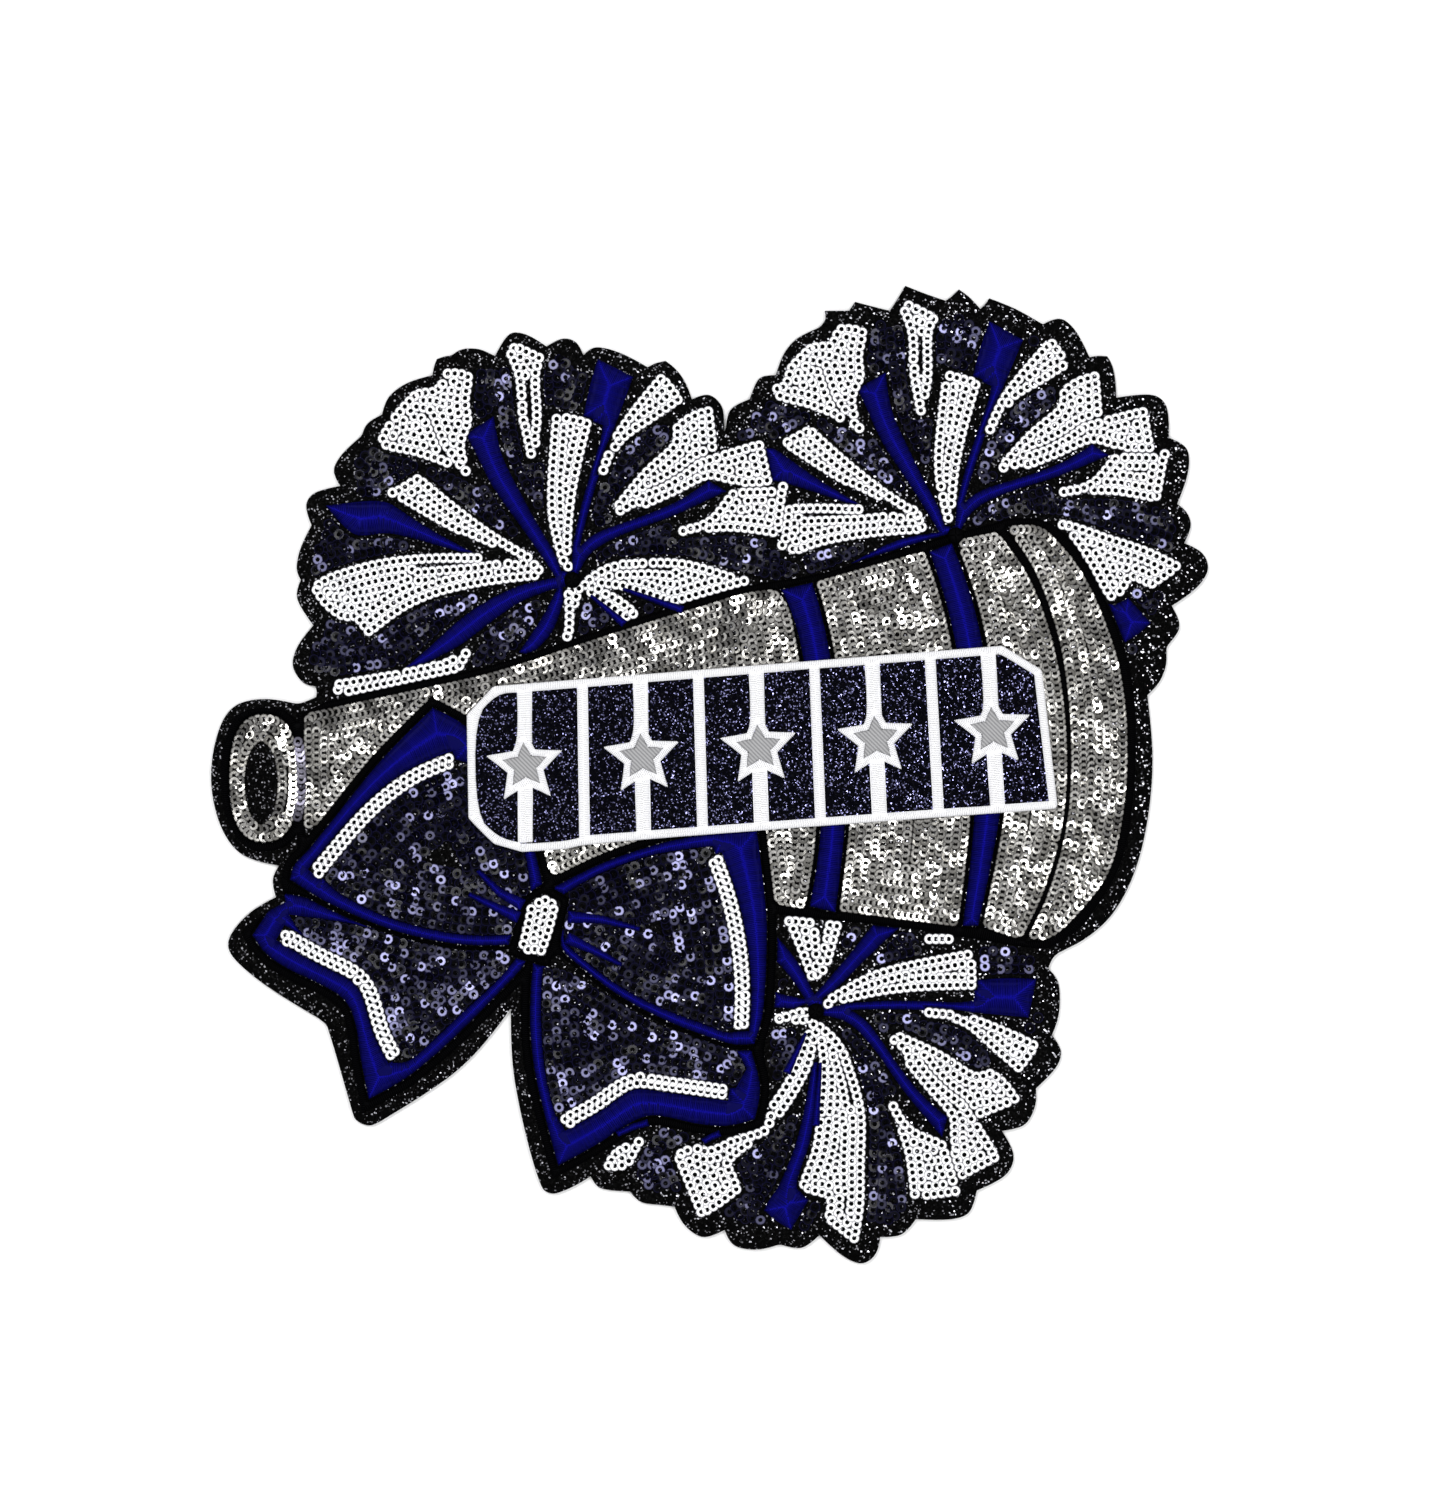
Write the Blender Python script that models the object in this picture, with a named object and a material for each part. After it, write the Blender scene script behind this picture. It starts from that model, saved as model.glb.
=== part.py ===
"""A sequin cheer patch: three pom-poms, a megaphone, a bow and a plaque sewn on a cut glitter fabric.

The patch lies flat with its face up (+Z) and the top of its artwork towards +Y. Every sewn area is
an outline in the plane, given a thickness. Where outlines cross, the one sewn last cuts the others
back, so that each piece holds only the ground that it really covers. Outlines are in millimetres.
"""
import math

import bmesh
import bpy
import numpy as np
from mathutils import Vector
from mathutils.geometry import delaunay_2d_cdt

MM = 0.001
GAP = 0.3               # room between pieces that lie side by side
CURVE_STEPS = 2         # straight lines that stand for one span of a smooth edge
CROSSING_SIZE = 1e-5    # outlines closer than this meet at one point
OUTLINE_WIDTH = 2.6     # black satin round the megaphone and the bow
TRIM_WIDTH = 4.3        # two rows of white sequins on the bow

# Heights of the layers above the table, bottom and top.
FILM = (0.0, 0.2)
FELT = (0.45, 0.95)
GROUND = (1.2, 1.5)
NAVY_FIELD = (1.75, 1.95)
SEWN = (2.2, 2.7)
PLAQUE_TWILL = (2.95, 3.1)
PLAQUE_GLITTER = (3.35, 3.55)
PLAQUE_SATIN = (3.8, 4.1)

# sRGB hex colour, roughness and metallic value of each material.
FINISHES = {
    "white_sequin": ("#f4f4f2", 0.35, 0.0),
    "navy_sequin": ("#1b1a3c", 0.2, 0.0),
    "silver_sequin": ("#b4b0a6", 0.25, 1.0),
    "navy_thread": ("#12127a", 0.45, 0.0),
    "black_thread": ("#0a0a0c", 0.45, 0.0),
    "white_thread": ("#f2f2f2", 0.5, 0.0),
    "glitter_fabric": ("#111114", 0.4, 0.0),
    "navy_glitter_fabric": ("#0d0c22", 0.4, 0.0),
    "grey_twill": ("#9b9b9b", 0.8, 0.0),
    "felt": ("#17171a", 0.9, 0.0),
    "heat_seal_film": ("#d9d9d2", 0.5, 0.0),
}


# ---- Outlines -------------------------------------------------------------------------------------

def smooth(points):
    """A Catmull-Rom curve through the points, CURVE_STEPS straight lines to a span."""
    if len(points) < 3:
        return [tuple(map(float, point)) for point in points]
    ring = np.array([points[0], *points, points[-1]], float)
    curve = []
    for before, start, end, after in zip(ring, ring[1:], ring[2:], ring[3:]):
        for step in range(CURVE_STEPS):
            t = step / CURVE_STEPS
            curve.append(0.5 * (2 * start + (end - before) * t
                                + (2 * before - 5 * start + 4 * end - after) * t**2
                                + (3 * start - before - 3 * end + after) * t**3))
    curve.append(ring[-1])
    return [tuple(point) for point in curve]


def strip(side, other_side):
    """The outline between two smooth edges that both run from the root to the tip."""
    return smooth(side) + smooth(other_side)[::-1]


def ribbon(centre_line, width):
    """An outline of even width along a smooth centre line."""
    line = np.array(smooth(centre_line))
    along = np.gradient(line, axis=0)
    along /= np.linalg.norm(along, axis=1)[:, None]
    across = np.column_stack([-along[:, 1], along[:, 0]]) * width / 2
    return [tuple(p) for p in line + across] + [tuple(p) for p in (line - across)[::-1]]


def placed(outline, hub, turn, size):
    """An outline drawn about the origin, scaled, turned anticlockwise by degrees and moved to the hub."""
    c, s = math.cos(math.radians(turn)) * size, math.sin(math.radians(turn)) * size
    return [(hub[0] + x * c - y * s, hub[1] + x * s + y * c) for x, y in outline]


def signed_area(outline):
    """The area inside an outline, positive when it runs anticlockwise."""
    x, y = np.array(outline).T
    return 0.5 * float(np.sum(x * np.roll(y, -1) - np.roll(x, -1) * y))


def grown(outline, distance):
    """The outline with every side moved outwards, and its corners kept to twice that distance."""
    ring = np.array(outline)
    if signed_area(outline) < 0:
        ring = ring[::-1]
    side = np.roll(ring, -1, axis=0) - ring
    side /= np.maximum(np.linalg.norm(side, axis=1), 1e-9)[:, None]
    outwards = np.column_stack([side[:, 1], -side[:, 0]])
    both = outwards + np.roll(outwards, 1, axis=0)
    both /= np.maximum(np.linalg.norm(both, axis=1), 1e-9)[:, None]
    reach = distance / np.maximum(np.sum(both * outwards, axis=1), 0.5)
    return [tuple(point) for point in ring + both * reach[:, None]]


def holds(outline, points):
    """For each point, whether the outline winds round it."""
    start = np.array(outline)
    end = np.roll(start, -1, axis=0)
    (x0, y0), (x1, y1) = start.T[:, :, None], end.T[:, :, None]
    x, y = points.T[:, None, :]
    side = (x1 - x0) * (y - y0) - (x - x0) * (y1 - y0)
    turns = ((y0 <= y) & (y1 > y) & (side > 0)).astype(int) - ((y0 > y) & (y1 <= y) & (side < 0))
    return turns.sum(axis=0) != 0


def middle_of(outline):
    """The middle of the box round an outline."""
    ring = np.array(outline)
    return (ring.min(axis=0) + ring.max(axis=0)) / 2


# ---- Pieces ---------------------------------------------------------------------------------------

def linear(hex_colour):
    """An sRGB hex colour as linear red, green, blue and alpha."""
    parts = [int(hex_colour[i:i + 2], 16) / 255 for i in (1, 3, 5)]
    return [p / 12.92 if p <= 0.04045 else ((p + 0.055) / 1.055) ** 2.4 for p in parts] + [1.0]


def new_material(node, finish):
    """A Principled BSDF material with the finish's colour, roughness and metallic value."""
    colour, roughness, metallic = FINISHES[finish]
    material = bpy.data.materials.new(f"{node}_{finish}")
    material.use_nodes = True
    surface = material.node_tree.nodes["Principled BSDF"]
    surface.inputs["Base Color"].default_value = linear(colour)
    surface.inputs["Roughness"].default_value = roughness
    surface.inputs["Metallic"].default_value = metallic
    material.diffuse_color = linear(colour)
    return material


def add_slab(node, finish, layer, points, triangles):
    """A closed plate: the triangles at the layer's top and bottom, joined by walls along their border."""
    mesh = bpy.data.meshes.new(node)
    shape = bmesh.new()
    middle_x, middle_y = middle_of(cut_edge())
    verts = [shape.verts.new(((x - middle_x) * MM, (y - middle_y) * MM, layer[0] * MM)) for x, y in points]
    for a, b, c in triangles:
        shape.faces.new((verts[a], verts[b], verts[c]))
    loose = [vert for vert in shape.verts if not vert.link_faces]
    bmesh.ops.delete(shape, geom=loose, context="VERTS")
    raised = bmesh.ops.extrude_face_region(shape, geom=shape.faces[:])["geom"]
    rise = Vector((0, 0, (layer[1] - layer[0]) * MM))
    bmesh.ops.translate(shape, vec=rise, verts=[v for v in raised if isinstance(v, bmesh.types.BMVert)])
    bmesh.ops.recalc_face_normals(shape, faces=shape.faces[:])
    shape.to_mesh(mesh)
    shape.free()
    mesh.materials.append(new_material(node, finish))
    bpy.context.scene.collection.objects.link(bpy.data.objects.new(node, mesh))


def patches_of(triangles):
    """For each triangle, a number that all the triangles joined to it by their sides share."""
    by_side = {}
    for index, corners in enumerate(triangles):
        for a, b in zip(corners, corners[1:] + corners[:1]):
            by_side.setdefault((min(a, b), max(a, b)), []).append(index)
    group = list(range(len(triangles)))

    def leader(index):
        while group[index] != index:
            index = group[index]
        return index

    for pair in by_side.values():
        if len(pair) == 2:
            group[leader(pair[0])] = leader(pair[1])
    return [leader(index) for index in range(len(triangles))]


def area_of(points, corners):
    """The area of the triangle between three of the points."""
    (ax, ay), (bx, by), (cx, cy) = (points[i] for i in corners)
    return abs((bx - ax) * (cy - ay) - (cx - ax) * (by - ay)) / 2


def largest_patch(points, triangles):
    """The biggest set of triangles joined by their sides, so that a piece is one piece."""
    areas = {}
    numbers = patches_of(triangles)
    for number, corners in zip(numbers, triangles):
        areas[number] = areas.get(number, 0) + area_of(points, corners)
    biggest = max(areas, key=areas.get)
    return [corners for number, corners in zip(numbers, triangles) if number == biggest]


def sew(shapes, layer, border=None):
    """Lay the shapes down in order and add each named one as a plate of what is left of it.

    A shape is (node, finish, outlines). A shape with None for its node only cuts the ones below it,
    and shapes with the same node are one piece, which doesn't cut itself. Nothing is sewn outside
    the border.
    """
    rings = [ring for _, _, outlines in shapes for ring in outlines]
    rings += [grown(ring, GAP) for ring in rings] + ([border] if border else [])
    corners = [Vector(point) for ring in rings for point in ring]
    sides, first = [], 0
    for ring in rings:
        sides += [(first + i, first + (i + 1) % len(ring)) for i in range(len(ring))]
        first += len(ring)
    verts, _, faces, *_ = delaunay_2d_cdt(corners, sides, [], 0, CROSSING_SIZE)
    points = [(v.x, v.y) for v in verts]
    triangles = [tuple(face) for face in faces]
    centres = np.array([np.mean([points[i] for i in face], axis=0) for face in triangles])

    def covered_by(outlines, room):
        return np.any([holds(grown(ring, room) if room else ring, centres) for ring in outlines], axis=0)

    wide = [covered_by(outlines, GAP) for _, _, outlines in shapes]
    showing, finishes = {}, {}
    for index, (node, finish, outlines) in enumerate(shapes):
        if node is None:
            continue
        shown = covered_by(outlines, 0) & (covered_by([border], 0) if border else True)
        for (above, _, _), cover in zip(shapes[index + 1:], wide[index + 1:]):
            if above != node:
                shown &= ~cover
        showing[node] = showing.get(node, False) | shown
        finishes[node] = finish
    for node, shown in showing.items():
        mine = [triangles[i] for i in np.flatnonzero(shown)]
        add_slab(node, finishes[node], layer, points, largest_patch(points, mine))


# ---- The ground fabric ----------------------------------------------------------------------------

# The cut edge, clockwise from the mouthpiece. Each row starts at a sharp notch or corner, and the
# edge runs smoothly through the row's points to the start of the next row.
CUT_EDGE = [
    [(-115, 20), (-123, 21.5), (-132, 20), (-137, 13), (-139.3, 0), (-137, -13), (-131, -22), (-121, -25)],
    [(-120, -25), (-122, -29)], [(-121, -34), (-128, -38), (-134, -45), (-133, -51), (-122, -60)],
    [(-107, -69), (-104.5, -77), (-100.5, -91)], [(-99, -96), (-95, -98), (-89, -95), (-72, -84), (-62, -74)],
    [(-55.3, -65), (-54.8, -82), (-51, -101), (-47.5, -113)], [(-46, -116), (-43, -117), (-37, -114.5)],
    [(-33, -112), (-31, -115), (-27, -116)], [(-22, -116.3), (-19, -119.3), (-14, -120)],
    [(-9.5, -120.5), (-7, -125.5), (-1.5, -129.3)], [(4.5, -127), (7, -131.5), (14, -132.6)],
    [(20, -131), (26, -132.3)], [(31, -128.5), (37, -134), (43, -136.6), (47, -133.5)],
    [(48, -129), (54, -128.5)], [(58, -124), (67, -124.2), (73, -122.3)],
    [(75, -116), (83, -112), (85.5, -106)],
    [(82, -99.3), (88.5, -97.8), (91.5, -92)], [(91.5, -87.5), (97, -82), (98.7, -77)],
    [(96, -72.5), (98, -67), (98, -58)],
    [(95, -54), (97, -50), (104, -46.5), (112, -40), (118, -30), (122, -17), (124, -2), (124, 10)],
    [(122.7, 22.5), (126, 26), (128, 31)], [(128, 36), (131.5, 40.5), (131.3, 44)],
    [(129.5, 47.5), (136, 52), (139.8, 57.5), (138, 62.5)], [(133, 65), (135, 70), (133.5, 74)],
    [(131, 76), (134, 84), (134, 91.5)], [(128.7, 94.5), (128.3, 103), (124, 106.7)],
    [(114, 105.7), (113.6, 112), (111.5, 117.3)], [(106.5, 117), (103, 124), (98.5, 128)],
    [(93.5, 126.2), (86, 130.5)], [(78.5, 133.5), (77.5, 132)], [(76, 130.5), (73, 133.8)],
    [(70, 136), (68, 134)], [(66.3, 132.8), (60, 135)], [(55, 137), (53, 133.5)],
    [(50.7, 130), (45.5, 131.3)], [(41, 132.5), (40, 131)],
    [(39.3, 130), (36, 130)], [(32.5, 130), (32.7, 127.5)], [(31, 125.3), (25, 122.5), (21, 118)],
    [(18.8, 112), (14.5, 111.5), (12.5, 108)], [(11.5, 105.3), (6, 102.5), (4.8, 97)],
    [(4.3, 96), (4, 103), (0, 106.7)], [(-4.7, 105.2), (-7, 111), (-12, 116)],
    [(-17, 114.2), (-24, 118), (-31.5, 120)],
    [(-35, 117.5), (-37, 121.3), (-41, 122.3)], [(-45.3, 120), (-50, 123), (-55, 124), (-58, 120.5)],
    [(-59.7, 117.3), (-64, 119.3), (-69, 119.3)], [(-71.8, 117.5), (-76, 116.5)],
    [(-77.2, 112), (-84, 110), (-89.5, 106)], [(-91.3, 101), (-95.5, 98.5)],
    [(-97, 95), (-102, 90.5), (-105, 85.5)], [(-103, 81), (-110, 79.3), (-112.7, 75.5)],
    [(-111, 70), (-114, 64), (-115.3, 58)], [(-114, 54.7), (-115.3, 49.5)],
    [(-110.5, 42), (-114.5, 37), (-116.5, 31), (-113.5, 26)], [(-110, 25), (-109.7, 22)],
]

FELT_INSET = 1.0        # the felt and the film stop short of the cut edge
FILM_INSET = 1.6
BORDER_WIDTH = 2.4      # bare glitter fabric that every seam keeps to the cut edge


def cut_edge():
    """The whole cut edge as one closed outline."""
    outline = []
    for row, following in zip(CUT_EDGE, CUT_EDGE[1:] + CUT_EDGE[:1]):
        outline += smooth([*row, following[0]])[:-1]
    return outline


# ---- The pom-pom ----------------------------------------------------------------------------------

# One design, drawn about its hub. A strand is the two edges from its root to its tip.
WHITE_STRANDS = {
    "centre": [([(-3, 3), (-6.5, 15.5), (-7, 27.5), (-5.5, 47.5)],
                [(-0.5, 3), (0, 17.5), (2, 30.5), (5.5, 45)])],
    "top": [([(-12.5, 34.5), (-15, 45.5), (-16, 57.5), (-19, 64.5), (-16.5, 67)],
             [(-10.5, 34.5), (-8.5, 45.5), (-9.5, 57.5), (-7, 62.5)])],
    "upper_left": [([(-33, 31), (-44, 35), (-52, 36.5), (-54.5, 39.5), (-50, 47), (-44, 53.5)],
                    [(-27, 27.5), (-30.5, 37.5), (-28, 44), (-29, 50.5), (-28, 58), (-36, 59), (-38.5, 54)])],
    "left": [([(-9, 3), (-20, 7.5), (-32, 13), (-42, 18.5), (-52, 24.5)],
              [(-10, 6.5), (-22, 13.5), (-34, 22.5), (-43, 30)]),
             ([(-8, 0.5), (-22, -1), (-37, -4), (-48, -9), (-57, -16)],
              [(-9, 4), (-27, 7.5), (-47, 7), (-62, 4), (-73.5, -1.5), (-66, -10.5), (-61, -11)])],
    "lower_left": [([(-32, -27), (-50, -30.5), (-66.5, -34)],
                    [(-26.5, -17), (-38, -23), (-52, -25.5), (-67, -28)])],
    "upper_right": [([(7, 30), (11, 40.5), (19, 51.5), (25, 58.5)],
                     [(9, 29), (14, 38.5), (22, 44), (31.5, 50.5)])],
    "right": [([(11, 20.5), (20, 31.5), (28, 38.5), (28, 43), (33, 47), (39, 49)],
               [(13, 18), (24, 24.5), (34, 31.5), (40.5, 36.5)]),
              ([(17, 21.5), (28, 29.5), (35, 34), (43, 36.5), (53, 39.5)],
               [(20, 20), (30, 24.5), (38, 28.5), (44, 27), (56, 26.5)]),
              ([(29, 14.5), (38, 17.5), (43, 24), (48, 27.2), (60, 27)],
               [(30, 13), (38, 13.5), (46, 13.8), (58, 12)])],
    "lower_right": [([(2.5, 0), (9, 4.5), (18, 6), (31, 6), (44, 2.2), (55.7, -1), (66.2, -5.8)],
                     [(2.8, -1.5), (13.8, -2.5), (25.2, -6.2), (37.4, -11.1), (46.5, -17.6), (51, -10.5),
                      (56.5, -13)]),
                    ([(3, 0), (12.4, -3.8), (19.2, -9.3), (26.4, -17.4), (31.3, -26), (34.8, -34),
                      (42.9, -33), (47.6, -46.4)],
                     [(1, -2), (8, -6.5), (17, -13.9), (23.9, -23), (27.1, -30.1), (28.9, -38.8),
                      (26.5, -42.3), (27.8, -48.9)]),
                    ([(-2.5, -2), (-2, -9.5), (-2.5, -17)], [(3.5, -0.5), (1, -9.5), (0, -17.5)])],
    "stub": [([(20.5, -53.1), (24, -57.2), (29, -61.6)], [(22, -64.9), (27.5, -69.5)])],
}
NAVY_THREAD_STRANDS = {
    "hub": [([(-2.6, 0.6), (-0.5, 2.8)], [(-0.5, -1.4), (1.8, 0.6)]),
            ([(-1, 1.5), (0, 9.5), (2.5, 21.5), (6, 33.5), (8.5, 43.5), (3, 46), (7, 62)],
             [(0.5, 1.5), (1.5, 7.5), (4.5, 19.5), (8, 31.5), (12, 43.5), (17, 57)]),
            ([(-4, 0), (-14, 14.5), (-22, 25.5), (-27, 35.5), (-30, 41)],
             [(-1, 1.5), (-9, 14.5), (-15, 25.5), (-20, 35.5), (-22, 46)]),
            ([(-1, 1), (2, 9.5), (8, 14), (18, 17.5), (30, 22.5), (38, 28)],
             [(0.5, -0.5), (4, 6.5), (9, 10.5), (18, 14.5), (28, 18), (43, 25)]),
            ([(-1, 1.5), (-12, -0.5), (-20, -3.5), (-30, -9.5), (-40, -18.5), (-47, -24.5)],
             [(-1, -1), (-14, -5.5), (-24, -12.5), (-32, -18.5), (-42, -23.5)]),
            ([(-2.5, 1), (-5.2, -4), (-9, -11), (-15, -20)], [(-0.5, 0), (-3.2, -8), (-6, -15), (-12, -21)])],
    "left": [([(-28, 7), (-40, 10.5), (-52, 13.5), (-61, 12.5), (-69, 21)],
              [(-28, 8), (-40, 14.5), (-53, 23)])],
    "lower_right": [([(13.7, -3.1), (25.1, -6.7), (36.2, -11.8), (44.9, -17.7), (50.2, -15.5)],
                     [(13.3, -4.6), (24.3, -9.6), (35.2, -15.6), (45.4, -23.6), (49.9, -28.4),
                      (57.1, -22.5)])],
}
NAVY_SEQUIN_ARM = [([(5, 4), (18, 10.5), (30, 13.2), (46, 14), (55, 12.8), (58, 8), (68, 6.5)],
                    [(5, 2), (33, 5.5), (53, -1.5), (68, 1.5)])]
FIELD_EDGE = [(0, 65), (22, 60), (41, 48), (56, 38), (60, 26), (64, 6), (64, -10), (55, -26), (47, -47),
              (27, -67), (0, -66), (-25, -62), (-55, -46), (-75, -22), (-73, 4), (-68, 26), (-53, 44),
              (-38, 58), (-20, 65)]

# name: hub, turn, size, and which strands show.
POM_POMS = {
    "right_pompom": ((69, 67), -2.5, 0.975,
                     ("centre", "top", "upper_left", "left", "upper_right", "right", "lower_right"),
                     ("hub", "left", "lower_right")),
    "bottom_pompom": ((30, -66), -75, 1.0,
                      ("centre", "top", "left", "upper_right", "right", "lower_right", "stub"),
                      ("hub", "lower_right")),
    "left_pompom": ((-38, 54.5), 0, 1.0,
                    ("centre", "top", "upper_left", "left", "lower_left", "upper_right", "right",
                     "lower_right"),
                    ("hub", "left")),
}


def pompom_shapes(name):
    """The pom-pom's strands where it is placed: thread first, then the sequins that lie over it."""
    hub, turn, size, white, thread = POM_POMS[name]

    def spread(strands):
        return [placed(strip(*strand), hub, turn, size) for strand in strands]

    shapes = [(None, None, spread(NAVY_SEQUIN_ARM))] if name == "left_pompom" else []
    for strand in thread:
        shapes.append((f"{name}_{strand}_thread_strands", "navy_thread", spread(NAVY_THREAD_STRANDS[strand])))
    for strand in white:
        shapes.append((f"{name}_{strand}_white_strands", "white_sequin", spread(WHITE_STRANDS[strand])))
    return shapes


# ---- The megaphone --------------------------------------------------------------------------------

def ellipse(centre, half_width, half_height, sides, power=1.0):
    """An ellipse, or with a power under 1 one with squarer corners."""
    outline = []
    for step in range(sides):
        c, s = math.cos(2 * math.pi * step / sides), math.sin(2 * math.pi * step / sides)
        outline.append((centre[0] + half_width * math.copysign(abs(c) ** power, c),
                        centre[1] + half_height * math.copysign(abs(s) ** power, s)))
    return outline


MEGAPHONE_EDGE = (
    smooth([(-115, 19), (-80, 26.5), (-60, 31), (-40, 37.5), (-20, 44), (12, 53.5), (30, 56), (59, 65),
            (80, 70.5)])
    + smooth([(84, 72), (94, 71.5), (102, 65), (111, 49), (118, 30), (119.6, 8), (118, -13), (114, -28),
              (104, -43)])
    + smooth([(96, -48), (88, -48), (55, -42.5), (18, -38.5), (-37, -31), (-115, -20)])
)
MOUTHPIECE_SIDES = 20
BORE_SIDES = 12
SQUARER = 0.8           # the power that fills out the mouthpiece's corners
MOUTHPIECE = ellipse((-124.2, -0.7), 9.7, 18, MOUTHPIECE_SIDES, SQUARER)
MOUTHPIECE_BORE = ellipse((-125, -2), 4.5, 11.5, BORE_SIDES)
SILVER_PANELS = {
    "neck": ([(-112.6, 17), (-80, 24), (-60, 28.5), (-40, 35), (-20, 41.5), (0, 47.5), (18.5, 51.7),
              (24, 38), (29.3, 0), (29.3, -20), (26.5, -36.8)],
             [(-112.6, -16.5), (-37, -28), (19, -35.5)]),
    "middle": ([(30.5, 54), (35, 38), (39.5, 5), (39.8, -14), (37, -37.5)],
               [(60, 62.3), (66.5, 42), (72, 5), (72.6, -14), (69.3, -41.7)]),
    "bell": ([(69.5, 65.5), (77, 44), (83, 5), (83, -12), (77, -42)],
             [(80.5, 67.7), (89.5, 55), (97, 33), (99.8, 8), (98.6, -14), (93, -33), (87, -45.3)]),
    "rim": ([(83.2, 69.3), (91.5, 58), (99.3, 35), (101.8, 8), (100.6, -14), (95, -34), (89, -46)],
            [(92, 70), (103.5, 58), (114, 33), (116.8, 8), (115, -14), (110, -30), (96, -45.3)]),
}
THREAD_BANDS = {
    "first": ([(20.3, 52), (25.7, 38), (31, 0), (31, -20), (28.2, -36.5)],
              [(29, 54), (33.3, 38), (37.9, 5), (38.2, -14), (35.5, -38.2)]),
    "second": ([(61.7, 62.6), (68.2, 42), (73.7, 5), (74.2, -14), (71, -42)],
               [(68, 65), (75.3, 44), (81.3, 5), (81.4, -12), (75.4, -42)]),
}

# ---- The bow --------------------------------------------------------------------------------------

# Each lobe: the two edges of its satin edging, those of its navy sequins, and its white trim.
CREASE_WIDTH = 1.2      # black satin where one lobe of the bow lies on another
BOW_LOBES = {
    "left_tail": (
        ([(-118, -33), (-127.5, -44.5), (-118, -54), (-101, -62.5), (-97.5, -78), (-95, -90.5)],
         [(-100, -36), (-58, -44), (-50, -50), (-58, -60), (-74, -76), (-85, -85)]),
        ([(-117, -39), (-108, -50.5), (-97, -56), (-93, -64), (-88, -80)],
         [(-100, -41.5), (-70, -49), (-53, -49.5), (-68, -65), (-84, -80)]),
        [(-119.5, -44), (-108, -50.5), (-98, -55.5), (-94, -62), (-91.5, -71), (-87.5, -79)]),
    "right_tail": (
        ([(-49, -52), (-50, -66), (-48.5, -84), (-42, -109)],
         [(-40, -50), (-12, -68), (12, -77), (13, -96), (-3, -97.5), (-17, -94.5), (-30, -102.5)]),
        ([(-46, -54), (-46.5, -66), (-45.5, -82), (-42.5, -95)],
         [(-40, -54), (-14, -70), (7, -76), (7.5, -87), (-21, -86), (-40, -95)]),
        [(-41, -97), (-31, -91.5), (-22, -85.3), (-12, -86), (5.5, -88.5)]),
    "left_loop": (
        ([(-77, 19), (-92, 4), (-104, -11), (-112, -21), (-117, -29), (-98, -39.5), (-82, -45),
          (-66, -47.5), (-52, -47)],
         [(-69, 15), (-60, 5), (-52, -10), (-48.5, -21), (-46, -32)]),
        ([(-72, 4.5), (-80, 1), (-88, -4), (-96, -11), (-103, -19), (-108, -28), (-98, -35.5), (-85, -40.8),
          (-68, -44.3), (-53, -44)],
         [(-66, 3), (-58, -8), (-52, -20), (-50, -33)]),
        [(-71, 4.5), (-80, 1), (-88, -4), (-96, -11), (-103, -19), (-110, -27.5)]),
    "right_loop": (
        ([(-43, -31), (-30, -24.5), (-15, -19.3), (0, -16), (13.5, -15)],
         [(-41, -49), (-28, -59.5), (-15, -67), (0, -73), (12.8, -75), (16, -58), (16.3, -38)]),
        ([(-41, -34), (-30, -27.5), (-15, -22.3), (1, -20)],
         [(-40, -46.5), (-28, -56.5), (-15, -63.8), (0, -69.5), (8.5, -71), (9, -52), (6.5, -38)]),
        [(1.5, -22.5), (5, -32), (7.5, -42), (9, -52), (9.5, -62), (9, -71)]),
}
KNOT = [(-50.7, -36), (-46, -33), (-41.5, -35.5), (-43.5, -44), (-46, -50.7), (-53.5, -48.5), (-51.5, -41)]
KNOT_SURROUND = 2.2     # black satin round the knot

# ---- The plaque -----------------------------------------------------------------------------------

PLAQUE_EDGE = [(-67.5, 17), (-60, 25), (82, 36.3), (93, 29.5), (97.5, -9.2), (-32, -18.7), (-40, -20.5),
               (-52, -21.3), (-60, -19), (-67, -12)]
LOW_LEFT, LOW_RIGHT = np.array((-67.5, -21.2)), np.array((97.2, -9.2))      # the leaning frame of its blocks
HIGH_LEFT, HIGH_RIGHT = np.array((-67.5, 24.4)), np.array((94.0, 37.2))
SATIN_WIDTH = 2.3
BLOCKS = 5
STAR_REACH = 11.5       # from a star's middle to its points
STAR_WAIST = 0.46       # how deep its inner corners lie, as a share of that
STAR_OPENING = 0.52     # the twill that shows inside, as a share of the star
STUB_WIDTH = 4.2
STUB_SPANS = ((0.03, 0.42), (0.64, 0.97))       # below and above a star, as shares of the height
DIVIDER_WIDTH = 3.0
DIVIDER_SPAN = (0.03, 0.97)
KNEE_SIDES = 8          # round dots of satin that fill the border's corners


def plaque_point(across, up):
    """A point on the plaque: across from 0 to 1 left to right, up from 0 to 1 bottom to top."""
    low = LOW_LEFT * (1 - across) + LOW_RIGHT * across
    high = HIGH_LEFT * (1 - across) + HIGH_RIGHT * across
    return low * (1 - up) + high * up


def star(centre, reach, turn):
    """A five-pointed star, turned anticlockwise by degrees."""
    outline = []
    for point in range(10):
        length = reach if point % 2 == 0 else reach * STAR_WAIST
        angle = math.radians(90 + turn + 36 * point)
        outline.append((centre[0] + length * math.cos(angle), centre[1] + length * math.sin(angle)))
    return outline


def bar(start, end, width):
    """A straight strip from one point to another."""
    along = np.array(end) - np.array(start)
    across = np.array((-along[1], along[0])) / np.linalg.norm(along) * width / 2
    return [tuple(p) for p in (start + across, end + across, end - across, start - across)]


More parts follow.
